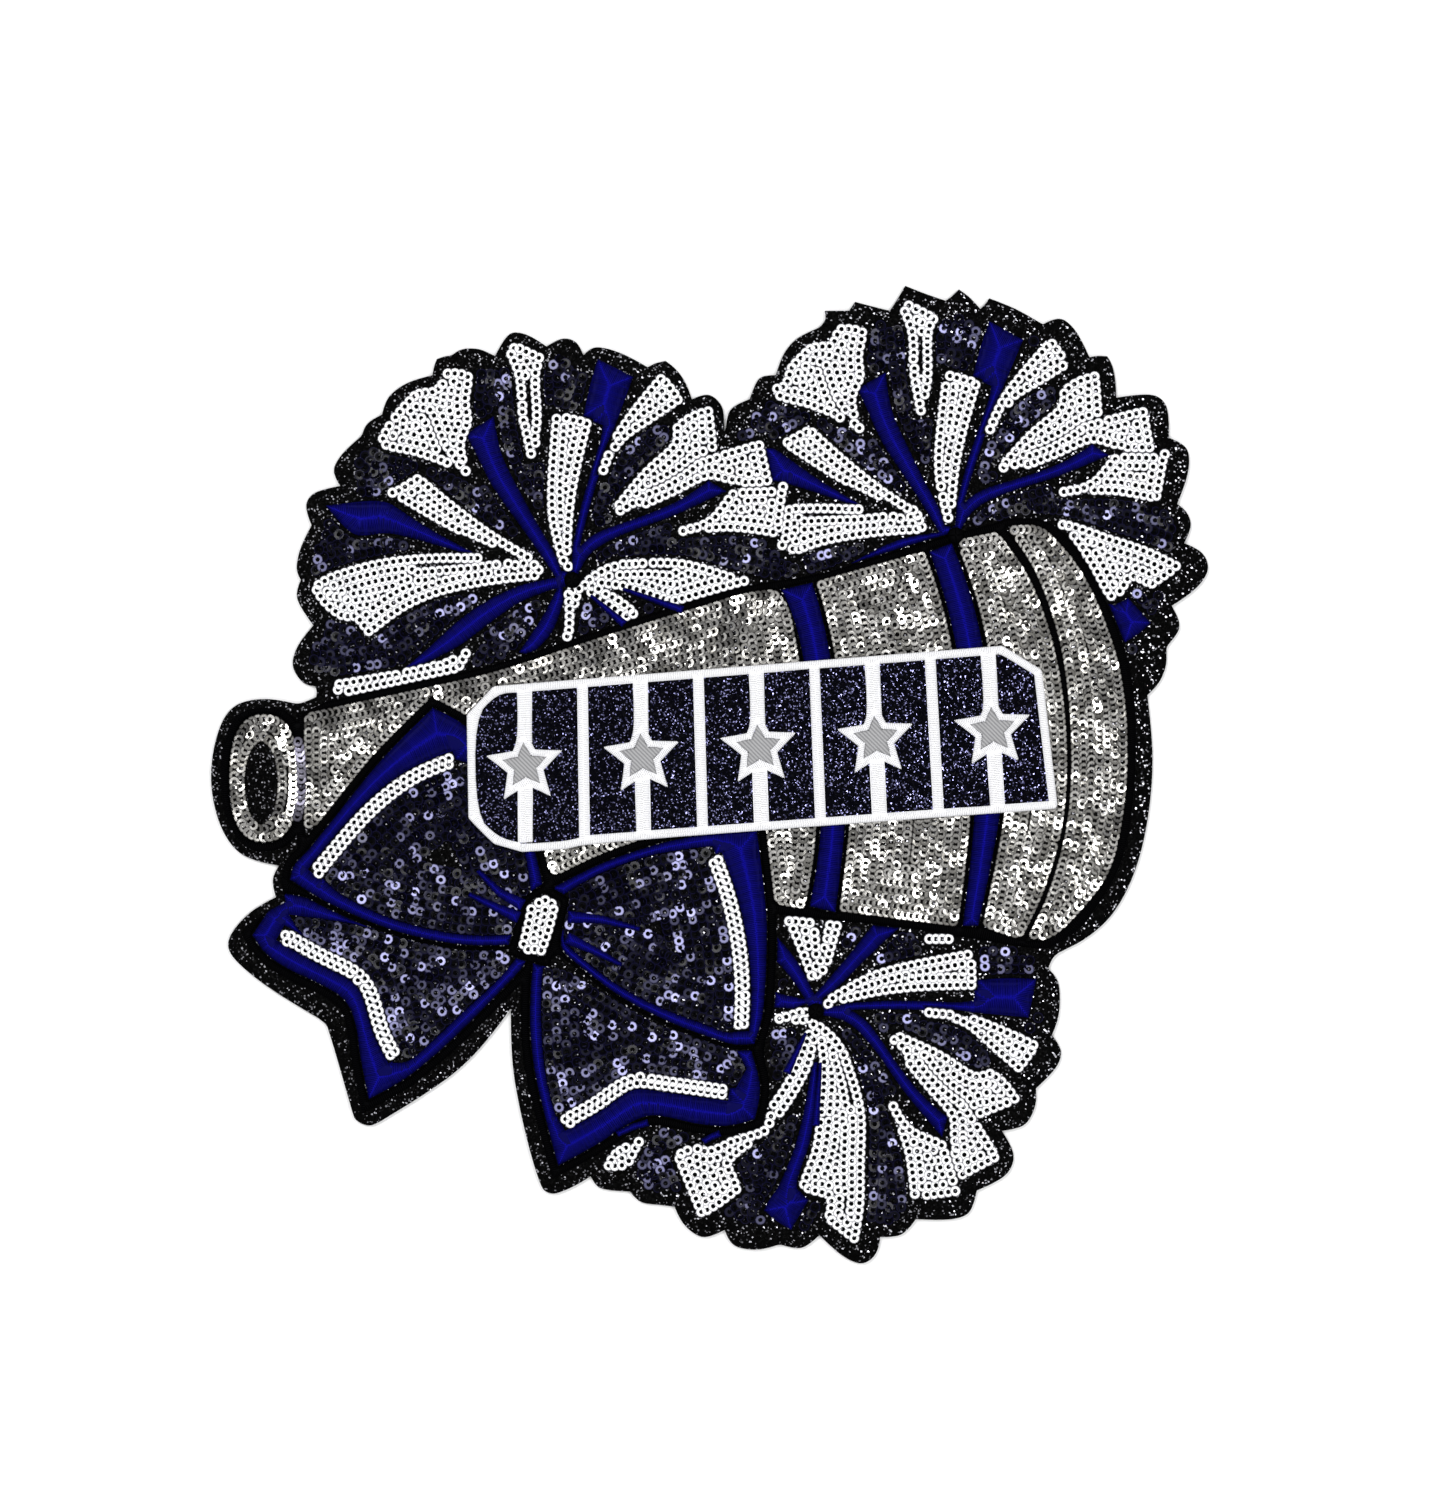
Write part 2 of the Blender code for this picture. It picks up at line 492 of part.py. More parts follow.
def add_plaque():
    """Grey twill below, a glitter sheet with star windows on it, and white satin over every cut edge."""
    tilt = math.degrees(math.atan2(*(LOW_RIGHT - LOW_LEFT)[::-1]))
    middles = [plaque_point((block + 0.5) / BLOCKS, 0.5) for block in range(BLOCKS)]
    windows = [star(middle, STAR_REACH * STAR_OPENING, tilt) for middle in middles]
    stars = [star(middle, STAR_REACH, tilt) for middle in middles]
    inner = grown(PLAQUE_EDGE, -SATIN_WIDTH / 2)
    frame = [bar(np.array(a), np.array(b), SATIN_WIDTH) for a, b in zip(inner, inner[1:] + inner[:1])]
    knees = [ellipse(corner, SATIN_WIDTH / 2, SATIN_WIDTH / 2, KNEE_SIDES) for corner in inner]
    dividers = [bar(*(plaque_point(block / BLOCKS, end) for end in DIVIDER_SPAN), DIVIDER_WIDTH)
                for block in range(1, BLOCKS)]
    stubs = [bar(*(plaque_point((block + 0.5) / BLOCKS, end) for end in span), STUB_WIDTH)
             for block in range(BLOCKS) for span in STUB_SPANS]
    sew([("plaque_grey_twill", "grey_twill", [inner])], PLAQUE_TWILL)
    sew([("plaque_navy_glitter", "navy_glitter_fabric", [grown(PLAQUE_EDGE, -GAP)]), (None, None, windows)],
        PLAQUE_GLITTER)
    sew([("plaque_white_satin", "white_thread", frame + knees + dividers + stubs + stars),
         (None, None, windows)], PLAQUE_SATIN)


# ---- Putting it together --------------------------------------------------------------------------

def add_backing():
    """The layers that everything is sewn to, from the table up."""
    edge = cut_edge()
    sew([("heat_seal_film", "heat_seal_film", [grown(edge, -FILM_INSET)])], FILM)
    sew([("stabiliser_felt", "felt", [grown(edge, -FELT_INSET)])], FELT)
    sew([("glitter_ground", "glitter_fabric", [edge])], GROUND)


def megaphone_shapes():
    """Black satin round the megaphone, then the mouthpiece, the silver panels and the navy bands."""
    around = [MEGAPHONE_EDGE, grown(MOUTHPIECE, OUTLINE_WIDTH)]
    shapes = [("black_satin_outline", "black_thread", around),
              ("mouthpiece_ring", "silver_sequin", [MOUTHPIECE]), (None, None, [MOUTHPIECE_BORE])]
    for name, edges in SILVER_PANELS.items():
        shapes.append((f"megaphone_{name}_panel", "silver_sequin", [strip(*edges)]))
    for name, edges in THREAD_BANDS.items():
        shapes.append((f"megaphone_{name}_band", "navy_thread", [strip(*edges)]))
    return shapes


def bow_shapes():
    """Black satin round the whole bow, then each lobe from the back to the front, then the knot."""
    lobes = {name: [strip(*edges) for edges in outlines[:2]] for name, outlines in BOW_LOBES.items()}
    around = [grown(lobe, OUTLINE_WIDTH) for lobe, _ in lobes.values()]
    shapes = [("black_satin_outline", "black_thread", around)]
    for name, (lobe, field) in lobes.items():
        shapes += [("black_satin_outline", "black_thread", [grown(lobe, CREASE_WIDTH)]),
                   (f"bow_{name}_edging", "navy_thread", [lobe]),
                   (f"bow_{name}_navy_sequins", "navy_sequin", [field]),
                   (f"bow_{name}_white_trim", "white_sequin", [ribbon(BOW_LOBES[name][2], TRIM_WIDTH)])]
    return shapes + [("black_satin_outline", "black_thread", [grown(KNOT, KNOT_SURROUND)]),
                     ("bow_knot", "white_sequin", [KNOT])]


def add_sewn_work():
    """Everything sewn to the ground fabric, each shape over the ones before it."""
    fields = [(f"{name}_navy_sequins", "navy_sequin", [placed(smooth(FIELD_EDGE), hub, turn, size)])
              for name, (hub, turn, size, *_) in POM_POMS.items()]
    satin = [(None, None, outlines) for node, _, outlines in megaphone_shapes() + bow_shapes()
             if node == "black_satin_outline"]
    border = grown(cut_edge(), -BORDER_WIDTH)
    sew(fields + satin, NAVY_FIELD, border)
    strands = [shape for name in POM_POMS for shape in pompom_shapes(name)]
    sew(strands + megaphone_shapes() + bow_shapes(), SEWN, border)


def main():
    for thing in list(bpy.data.objects):
        bpy.data.objects.remove(thing)
    add_backing()
    add_sewn_work()
    add_plaque()


main()
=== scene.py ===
# %% [markdown]
# # A sequin cheer patch
# The patch is flat work: sequins and satin thread sewn by machine on black glitter fabric, which is
# then cut round the artwork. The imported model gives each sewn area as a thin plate. Everything here
# is grown out of the outlines of those plates, so that no piece can drift from its place.

# %% Load the fixed frame
import math

import bpy
import numpy as np
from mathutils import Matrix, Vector
from mathutils.geometry import delaunay_2d_cdt


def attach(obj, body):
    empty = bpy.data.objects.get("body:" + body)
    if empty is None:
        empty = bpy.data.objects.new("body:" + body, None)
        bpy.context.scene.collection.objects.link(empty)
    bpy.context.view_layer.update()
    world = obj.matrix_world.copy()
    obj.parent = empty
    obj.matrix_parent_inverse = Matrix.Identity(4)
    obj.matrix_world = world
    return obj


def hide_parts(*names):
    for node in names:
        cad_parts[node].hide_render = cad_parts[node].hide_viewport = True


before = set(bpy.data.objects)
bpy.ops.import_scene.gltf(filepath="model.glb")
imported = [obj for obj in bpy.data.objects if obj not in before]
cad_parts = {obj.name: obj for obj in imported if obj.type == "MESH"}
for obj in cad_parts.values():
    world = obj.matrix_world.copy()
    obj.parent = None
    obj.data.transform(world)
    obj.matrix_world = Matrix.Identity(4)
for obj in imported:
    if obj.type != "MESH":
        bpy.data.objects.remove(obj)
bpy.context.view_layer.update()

MM = 0.001
random = np.random.default_rng(7)

# %% [markdown]
# ## Outlines
# A plate's outline is the set of sides of its upper triangles that only one of them has. The
# triangles run anticlockwise seen from above, so the material always lies to the left of the line,
# round a hole too. That makes "inwards" the same turn everywhere, which every stitch and every row
# of sequins uses. The plates have coarse edges, so shallow corners are cut twice to round them.

# %% Read a node's outline in millimetres
SHARP_TURN = math.radians(48)


def outlines(node):
    """The closed lines round a node's upper face: sides of upward triangles that appear only once."""
    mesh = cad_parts[node].data
    mesh.calc_loop_triangles()
    corners = np.empty(len(mesh.vertices) * 3)
    mesh.vertices.foreach_get("co", corners)
    corners = corners.reshape(-1, 3) / MM
    faces = np.empty(len(mesh.loop_triangles) * 3, int)
    mesh.loop_triangles.foreach_get("vertices", faces)
    faces = faces.reshape(-1, 3)
    a, b, c = (corners[faces[:, k]] for k in range(3))
    turn = np.cross(b - a, c - a)
    up = turn[:, 2] > 0.9 * np.linalg.norm(turn, axis=1)
    places, number = np.unique(np.round(corners[:, :2], 3), axis=0, return_inverse=True)
    faces = number.reshape(-1)[faces[up]]
    sides = {(int(p), int(q)) for f in faces for p, q in zip(f, np.roll(f, -1))}
    following = {p: q for p, q in sides if (q, p) not in sides}
    rings = []
    while following:
        start, point = next(iter(following.items()))
        ring = [start]
        del following[start]
        while point != start and point in following:
            ring.append(point)
            point = following.pop(point)
        if len(ring) > 2:
            rings.append(soften(places[ring]))
    return rings


def soften(ring, rounds=2):
    """Cut each shallow corner at a quarter of the sides that meet there, and keep the sharp ones."""
    for _ in range(rounds):
        before, after = ring - np.roll(ring, 1, axis=0), np.roll(ring, -1, axis=0) - ring
        into, out = (side[:, 0] + 1j * side[:, 1] for side in (before, after))
        turn = np.abs(np.angle(out / (into + 1e-12)))
        keep = (turn > SHARP_TURN)[:, None]
        first = np.where(keep, ring, ring - before / 4)
        second = np.where(keep, ring, ring + after / 4)
        ring = np.stack([first, second], axis=1).reshape(-1, 2)
        ring = ring[np.linalg.norm(ring - np.roll(ring, 1, axis=0), axis=1) > 1e-3]
    return ring


print("The ground's edge has", len(outlines("glitter_ground")[0]), "points")

# %% [markdown]
# ## Depth inside an outline
# Nearly every step asks how deep a point lies inside an outline. Measuring each point against each
# side of the line would take minutes, so the distances are worked out once on a fine net, side by
# side, and read between its points afterwards. Whether a net point is inside comes from counting
# the sides to the left of it: an odd number means inside.

# %% Make a depth field for an outline
NET_STEP = 0.25         # millimetres between the points of the net


def field(rings, reach=10.0):
    """A function of points: the distance to the nearest line, positive inside, read from a net."""
    start = np.vstack(rings)
    end = np.vstack([np.roll(ring, -1, axis=0) for ring in rings])
    low = start.min(axis=0) - reach - 1
    shape = ((start.max(axis=0) + reach + 1 - low) / NET_STEP).astype(int) + 2
    near = np.full(shape, reach)
    crossed = np.zeros(shape, int)
    for p, q in zip((start - low) / NET_STEP, (end - low) / NET_STEP):
        first = np.maximum(np.minimum(p, q) - reach / NET_STEP, 0).astype(int)
        last = np.minimum(np.maximum(p, q) + reach / NET_STEP + 2, shape).astype(int)
        x = np.arange(first[0], last[0])[:, None] - p[0]
        y = np.arange(first[1], last[1])[None] - p[1]
        side = q - p
        share = np.clip((x * side[0] + y * side[1]) / max(side @ side, 1e-12), 0, 1)
        away = np.hypot(x - share * side[0], y - share * side[1]) * NET_STEP
        window = near[first[0]:last[0], first[1]:last[1]]
        np.minimum(window, away, out=window)
        level = np.arange(math.ceil(min(p[1], q[1])), math.ceil(max(p[1], q[1])))
        if len(level):
            crossing = np.ceil(p[0] + (level - p[1]) * side[0] / side[1]).astype(int)
            np.add.at(crossed, (crossing, level), 1)
    signed = np.where(np.cumsum(crossed, axis=0) % 2 == 1, near, -near)

    def depth(points):
        at = np.clip((points - low) / NET_STEP, 0, shape - 1.001)
        i, j = at.astype(int).T
        u, v = (at - at.astype(int)).T
        lower = signed[i, j] * (1 - u) + signed[i + 1, j] * u
        upper = signed[i, j + 1] * (1 - u) + signed[i + 1, j + 1] * u
        return lower * (1 - v) + upper * v

    return depth


CHUNK = 4000            # points tested at once, which keeps the arrays small


def inside(points, rings):
    """Exactly whether points lie within an outline: an odd number of its sides pass to their right."""
    start = np.vstack(rings)
    along = np.vstack([np.roll(ring, -1, axis=0) for ring in rings]) - start
    end = start[:, 1] + along[:, 1]
    slope = along[:, 0] / np.where(along[:, 1] == 0, 1e-12, along[:, 1])
    found = np.empty(len(points), bool)
    for first in range(0, len(points), CHUNK):
        x, y = points[first:first + CHUNK, :1], points[first:first + CHUNK, 1:]
        level = (start[:, 1] > y) != (end > y)
        crossed = level & (x < start[:, 0] + (y - start[:, 1]) * slope)
        found[first:first + CHUNK] = crossed.sum(axis=1) % 2 == 1
    return found


def walk(ring, step):
    """Points a step apart along a closed line, and the unit direction at each."""
    closed = np.vstack([ring, ring[:1]])
    sides = np.diff(closed, axis=0)
    reach = np.r_[0, np.cumsum(np.linalg.norm(sides, axis=1))]
    at = np.linspace(0, reach[-1], max(int(round(reach[-1] / step)), 3), endpoint=False)
    points = np.column_stack([np.interp(at, reach, closed[:, k]) for k in (0, 1)])
    side = sides[np.clip(np.searchsorted(reach, at, side="right") - 1, 0, len(sides) - 1)]
    return points, side / np.maximum(np.linalg.norm(side, axis=1), 1e-9)[:, None]


def leftwards(direction):
    """A direction in the plane turned a quarter turn anticlockwise."""
    return np.column_stack([-direction[:, 1], direction[:, 0]])


# %% [markdown]
# ## Finishes
# Each finish is a Principled BSDF with a few nodes in front of it. Colours are given as sRGB hex
# values. One small function adds any node, so that a material reads as a list of its nodes.

# %% Helpers for materials
COLOURS = {"data_type": "RGBA"}     # makes a Mix node mix colours


def linear(hex_colour):
    """An sRGB hex colour as linear red, green, blue and alpha."""
    parts = [int(hex_colour[i:i + 2], 16) / 255 for i in (1, 3, 5)]
    return [p / 12.92 if p <= 0.04045 else ((p + 0.055) / 1.055) ** 2.4 for p in parts] + [1.0]


def add(tree, kind, settings=None, **inputs):
    """Add a node; settings are its own properties, and inputs are values or other nodes' sockets."""
    node = tree.nodes.new(kind)
    for key, value in (settings or {}).items():
        setattr(node, key, value)
    for key, value in inputs.items():
        slot = int(key[1:]) if key[0] == "i" and key[1:].isdigit() else key.replace("_", " ")
        if isinstance(value, bpy.types.NodeSocket):
            tree.links.new(value, node.inputs[slot])
        else:
            node.inputs[slot].default_value = value
    return node


def finish(name, **inputs):
    """A new material, its node tree and its Principled BSDF with these plain values."""
    material = bpy.data.materials.new(name)
    material.use_nodes = True
    tree = material.node_tree
    surface = tree.nodes["Principled BSDF"]
    for key, value in inputs.items():
        surface.inputs[key.replace("_", " ")].default_value = value
    return material, tree, surface


def toned(name, dark, light, rim=None, **inputs):
    """A material from dark to light by each small piece's own tone, and a third colour at its rim.
    In the sequin and thread finishes the light end is in part a painted highlight, and the rim
    colour is painted shade on white and silver sequins and a painted reflection ring on navy ones.
    """
    material, tree, surface = finish(name, **inputs)
    tone = add(tree, "ShaderNodeAttribute", {"attribute_name": "tone"})
    colour = add(tree, "ShaderNodeMix", COLOURS, i0=tone.outputs["Fac"], i6=linear(dark),
                 i7=linear(light))
    if rim:
        edge = add(tree, "ShaderNodeAttribute", {"attribute_name": "rim"})
        colour = add(tree, "ShaderNodeMix", COLOURS, i0=edge.outputs["Fac"],
                     i6=colour.outputs[2], i7=linear(rim))
    tree.links.new(colour.outputs[2], surface.inputs["Base Color"])
    return material


def flecks(tree, size_mm, share):
    """Random cells of a real size: a mask of the given share of them, and each cell's random colour."""
    place = add(tree, "ShaderNodeTexCoord")
    cells = add(tree, "ShaderNodeTexVoronoi", Vector=place.outputs["Object"],
                Scale=1 / (size_mm * MM))
    pick = add(tree, "ShaderNodeSeparateColor", Color=cells.outputs["Color"])
    mask = add(tree, "ShaderNodeMath", {"operation": "LESS_THAN"}, i0=pick.outputs["Red"], i1=share)
    return mask.outputs[0], cells.outputs["Color"], pick.outputs["Green"]


# %% [markdown]
# ### Glitter fabric
# Polyester flakes in a clear film over black cloth. Most flakes lie flat and look black, and a few
# stand at an angle that sends the light back. Real flakes are 0.2 mm; here they are 0.34 to
# 0.4 mm, as finer ones would blur to an even grey. A share of the cells turns to bare metal, and
# every cell tips the normal its own way.

# %% Make the glitter finishes
FLAKE_TIP = 0.8         # how far a flake tips the normal, as a share of the normal's length


def glitter(name, ground, fleck_dark, fleck_light, size_mm, share, roughness):
    """Dark cloth with a share of metal flakes between two colours, each flake tipped its own way."""
    material, tree, surface = finish(name, Roughness=roughness, Specular_IOR_Level=0.02)
    mask, colour, tone = flecks(tree, size_mm, share)
    shine = add(tree, "ShaderNodeMix", COLOURS, i0=tone, i6=linear(fleck_dark),
                i7=linear(fleck_light))
    mix = add(tree, "ShaderNodeMix", COLOURS, i0=mask, i6=linear(ground), i7=shine.outputs[2])
    tree.links.new(mix.outputs[2], surface.inputs["Base Color"])
    tree.links.new(mask, surface.inputs["Metallic"])
    shape = add(tree, "ShaderNodeNewGeometry")
    centred = add(tree, "ShaderNodeVectorMath", {"operation": "SUBTRACT"}, i0=colour,
                  i1=(0.5, 0.5, 0.5))
    tipped = add(tree, "ShaderNodeVectorMath", {"operation": "SCALE"}, i0=centred.outputs[0],
                 Scale=FLAKE_TIP)
    summed = add(tree, "ShaderNodeVectorMath", {"operation": "ADD"}, i0=tipped.outputs[0],
                 i1=shape.outputs["Normal"])
    normal = add(tree, "ShaderNodeVectorMath", {"operation": "NORMALIZE"}, i0=summed.outputs[0])
    tree.links.new(normal.outputs[0], surface.inputs["Normal"])
    return material


black_glitter = glitter("black_glitter_film_on_cloth", "#020202", "#1c1c20", "#c8c8d0",
                        size_mm=0.4, share=0.08, roughness=0.35)
navy_glitter = glitter("navy_glitter_film_on_cloth", "#020207", "#16163a", "#a4a4d8",
                       size_mm=0.34, share=0.12, roughness=0.35)

# %% [markdown]
# ### Sequins, thread and backing
# White sequins are opaque glossy film, and the grey at their rim is painted shade. Navy ones are
# dark tinted film, nearly black; the few light ones are painted glints, and their paler rim is a
# painted reflection. Silver ones are metallised film, which mirrors the room; their dark rim is
# painted shadow, and the spread of tones is partly painted reflection. Satin stitch is rayon, whose
# filaments lie side by side and give one soft line of light along each ridge; that line is a painted
# highlight in the thread's colour. Twill is matt with a fine diagonal.

# %% Make the sequin and thread finishes
# The grey rim colour is painted shade round the edge of each disc.
white_sequin = toned("opaque_white_sequin_film", "#f4f4f6", "#ffffff", "#6c6c76",
                     Roughness=0.35, Specular_IOR_Level=0.5)
# The light colour, given to a rare few discs, is a painted glint; the rim colour is a painted
# reflection ring.
navy_sequin = toned("tinted_navy_sequin_film", "#010106", "#cacaff", "#13122e",
                    Roughness=0.16, Specular_IOR_Level=0.06)
# The dark rim colour is painted shadow where the discs overlap, and the spread of base colour from disc
# to disc is painted reflection, added to the real variety that their tilts give.
silver_sequin = toned("metallised_silver_sequin_film", "#7e7c77", "#d6d4d0", "#2a2826",
                      Roughness=0.22, Metallic=1.0)
# A darker copy of the silver film with painted shade, for the column behind the mouthpiece's lip.
shaded_silver = toned("shaded_silver_sequin_film", "#34323e", "#8a8894", "#1c1a22",
                      Roughness=0.3, Metallic=1.0)
# Each thread finish runs from its dark colour at a thread's ends to its light one at the crest: a
# painted highlight.
navy_thread = toned("navy_rayon_satin_stitch", "#010118", "#1412a2",
                    Roughness=0.45, Specular_IOR_Level=0.03)
black_thread = toned("black_rayon_satin_stitch", "#010102", "#040405",
                     Roughness=0.5, Specular_IOR_Level=0.02)
white_thread = toned("white_polyester_satin_stitch", "#f2f2f5", "#ffffff", Roughness=0.6)


def woven_twill():
    """Grey cotton twill: diagonal ribs 0.6 mm apart, wider than the real 0.35 mm so that they show."""
    material, tree, surface = finish("grey_cotton_twill", Roughness=0.85, Sheen_Weight=0.2)
    place = add(tree, "ShaderNodeTexCoord")
    ribs = add(tree, "ShaderNodeTexWave", {"bands_direction": "DIAGONAL"},
               Vector=place.outputs["Object"], Scale=0.314 / (0.6 * MM), Distortion=0.6)
    mix = add(tree, "ShaderNodeMix", COLOURS, i0=ribs.outputs["Fac"], i6=linear("#7e7e80"),
              i7=linear("#a9a9aa"))
    bump = add(tree, "ShaderNodeBump", Height=ribs.outputs["Fac"], Strength=0.5, Distance=0.1 * MM)
    tree.links.new(mix.outputs[2], surface.inputs["Base Color"])
    tree.links.new(bump.outputs[0], surface.inputs["Normal"])
    return material


def mottled(name, dark, light, size_mm, roughness):
    """A plain backing with the cloudiness of fibres or of film pressed on them."""
    material, tree, surface = finish(name, Roughness=roughness)
    place = add(tree, "ShaderNodeTexCoord")
    cloud = add(tree, "ShaderNodeTexNoise", Vector=place.outputs["Object"],
                Scale=1 / (size_mm * MM), Detail=4.0)
    mix = add(tree, "ShaderNodeMix", COLOURS, i0=cloud.outputs[0], i6=linear(dark),
              i7=linear(light))
    bump = add(tree, "ShaderNodeBump", Height=cloud.outputs[0], Strength=0.4, Distance=0.08 * MM)
    tree.links.new(mix.outputs[2], surface.inputs["Base Color"])
    tree.links.new(bump.outputs[0], surface.inputs["Normal"])
    return material


twill = woven_twill()
felt = mottled("black_needled_felt", "#0c0c0e", "#2a2a2e", 0.8, 0.95)
film = mottled("matt_heat_seal_film", "#c6c6be", "#e2e2da", 1.5, 0.55)

# %% [markdown]
# ## Putting a mesh in the scene
# Arrays of points and faces go into a mesh in one call each. A piece then gets its material and
# the body it rides on, and the plates that it stands for are hidden.

# %% Turn arrays into a finished piece
def piece(name, material, nodes, slot, points, *faces, **values):
    """A mesh object from points in millimetres, arrays of faces by size, and named point values."""
    mesh = bpy.data.meshes.new(name)
    corners = np.concatenate([group.ravel() for group in faces]).astype(np.int32)
    sizes = np.concatenate([np.full(len(group), group.shape[1]) for group in faces])
    mesh.vertices.add(len(points))
    mesh.vertices.foreach_set("co", (np.asarray(points) * MM).ravel())
    mesh.loops.add(len(corners))
    mesh.loops.foreach_set("vertex_index", corners)
    mesh.polygons.add(len(sizes))
    starts = np.r_[0, np.cumsum(sizes)[:-1]].astype(np.int32)
    mesh.polygons.foreach_set("loop_start", starts)
    mesh.polygons.foreach_set("use_smooth", np.ones(len(sizes), bool))
    mesh.update(calc_edges=True)
    mesh.validate()
    for key, value in values.items():
        own = mesh.attributes.new(key, "FLOAT", "POINT")
        own.data.foreach_set("value", value.astype(np.float32))
    mesh.materials.append(material)
    made = bpy.data.objects.new(name, mesh)
    bpy.context.scene.collection.objects.link(made)
    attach(made, "root")
    if nodes:
        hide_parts(*nodes)
    return made


def joined(parts):
    """Several (points, triangles, quads, tone) as one, with the numbers of the later ones moved up."""
    points, triangles, quads, tones, first = [], [], [], [], 0
    for own_points, own_triangles, own_quads, tone in parts:
        points.append(own_points)
        triangles.append(own_triangles + first)
        quads.append(own_quads + first)
        tones.append(tone)
        first += len(own_points)
    return np.vstack(points), np.vstack(triangles), np.vstack(quads), np.concatenate(tones)


NO_TRIANGLES = np.zeros((0, 3), int)

# %% [markdown]
# ## Cloth plates
# A plate of cloth or of stitching is a closed slab. Its upper face is a net of points inside the
# outline, each raised by a curve of its depth: flat cloth only rounds over at the edge, and satin
# stitch swells like a cushion from the edge to the middle of the column.

# %% Fill an outline with a raised, closed slab
CUSHION_TONE = 0.15     # the tone of stitching that shows between the threads on top


def slab(rings, height, bottom, spacing):
    """A closed slab: a square net inside the outline, raised to height(depth), over a flat bottom.
    A row of points just inside the line, the collar, lets the face round over at the edge."""
    every = np.vstack(rings)
    low, high = every.min(axis=0), every.max(axis=0)
    net = np.meshgrid(np.arange(low[0], high[0], spacing), np.arange(low[1], high[1], spacing))
    net = np.stack(net, -1).reshape(-1, 2)
    deep_at = field(rings)
    net = net[deep_at(net) > spacing * 0.5]
    inner = [walk(ring, spacing) for ring in rings]
    collar = np.vstack([points + leftwards(direction) * spacing * 0.3
                        for points, direction in inner])
    collar = collar[deep_at(collar) > spacing * 0.22]
    points = np.vstack([every, collar, net])
    sides, first = [], 0
    for ring in rings:
        sides += [(first + i, first + (i + 1) % len(ring)) for i in range(len(ring))]
        first += len(ring)
    verts, _, faces, *_ = delaunay_2d_cdt([Vector(p) for p in points], sides, [], 0, 1e-4)
    flat = np.array([tuple(v) for v in verts])
    faces = np.array([tuple(f) for f in faces])
    faces = faces[inside(flat[faces].mean(axis=1), rings)]
    used, faces = np.unique(faces, return_inverse=True)
    flat, faces = flat[used], faces.reshape(-1, 3)
    sides = np.concatenate([faces[:, [0, 1]], faces[:, [1, 2]], faces[:, [2, 0]]])
    key = sides[:, 0] * len(flat) + sides[:, 1]
    rim = sides[~np.isin(sides[:, 1] * len(flat) + sides[:, 0], key)]
    deep = np.maximum(deep_at(flat), 0)
    count = len(flat)
    top = np.column_stack([flat, height(deep)])
    under = np.column_stack([flat, np.full(count, bottom)])
    walls = np.column_stack([rim[:, 1], rim[:, 0], rim[:, 0] + count, rim[:, 1] + count])
    faces = np.vstack([faces, faces[:, ::-1] + count])
    return np.vstack([top, under]), faces, walls, np.full(2 * count, CUSHION_TONE)


def rounded(edge, full, radius):
    """Height by depth: a quarter of an ellipse from the edge's height to the full one, then level."""
    def height(deep):
        short = 1 - np.minimum(deep / radius, 1)
        return edge + (full - edge) * np.sqrt(np.maximum(1 - short ** 2, 0))

    return height


# %% [markdown]
# ### The backing and the ground
# Real patches are cut through all their layers at once, so film, felt and glitter fabric end nearly
# flush. The felt and the film are drawn a little short, as the cutter leaves them. Each is a sheet
# of cloth laid flat, cut to the patch's own outline.

# %% Lay the film, the felt and the glitter fabric
def pulled_in(rings, distance):
    """The outline moved inwards by a distance, with the points that would cross dropped."""
    moved = []
    deep_at = field(rings)
    for ring in rings:
        points, direction = walk(ring, 1.0)
        points = points + leftwards(direction) * distance
        moved.append(points[deep_at(points) > distance * 0.8])
    return moved


def cloth(name, material, node, slot, rings, height, bottom, spacing):
    """A sheet laid flat, cut to the given outline."""
    points, faces, walls, _ = slab(rings, height, bottom, spacing)
    made = piece(name, material, [node], slot, points, faces, walls)
    return made


cut_edge = outlines("glitter_ground")
film_sheet = cloth("film_sheet", film, "heat_seal_film", "adhesive_film", pulled_in(cut_edge, 0.6),
                   rounded(0.2, 0.2, 1), 0.0, 4.0)
felt_sheet = cloth("felt_sheet", felt, "stabiliser_felt", "felt", pulled_in(cut_edge, 0.35),
                   rounded(0.95, 0.95, 1), 0.2, 4.0)
ground_sheet = cloth("ground_sheet", black_glitter, "glitter_ground", "black_glitter", cut_edge,
                     rounded(1.2, 1.5, 0.5), 0.95, 3.0)

# %% [markdown]
# ## Satin stitch
# The needle goes down on one edge of a column and comes up on the other, so threads lie across it.
# In a wide shape two columns meet along the middle, and their crest catches the light; here that
# light is painted: each thread's colour runs from dark at the edge to a painted highlight at the
# crest. A thread starts at every pitch along the outline and runs straight inwards for as long as
# its distance from the edge keeps growing, which is just up to that middle line. Each half stitch
# is a three-sided rod, laid on a cushion of the same outline. Real threads are 0.35 mm apart;
# these are 0.5 mm, so that they show.

# %% Lay threads from the edge to the middle
THREAD_PITCH = 0.5
LONGEST_STITCH = 7.0
STATIONS = np.array([0.0, 0.12, 0.45, 0.84, 1.0])           # shares of a thread's length
PAINTED_CREST_HIGHLIGHT = np.array([0.0, 0.06, 0.16, 0.32, 0.95])        # and the painted highlight at each of them, lightest at the crest
ROD_HALF_WIDTH = 0.56   # as a share of the pitch, so that neighbours overlap
ROD_FOOT, ROD_CREST = -0.06, 0.07       # millimetres from the swell of the column
REACH_SLACK = 0.15      # how far a point may fall short of its distance along the inward line
FULL_CREST_HIGHLIGHT = 1.2        # the length from which a thread's painted crest highlight is as light as it gets
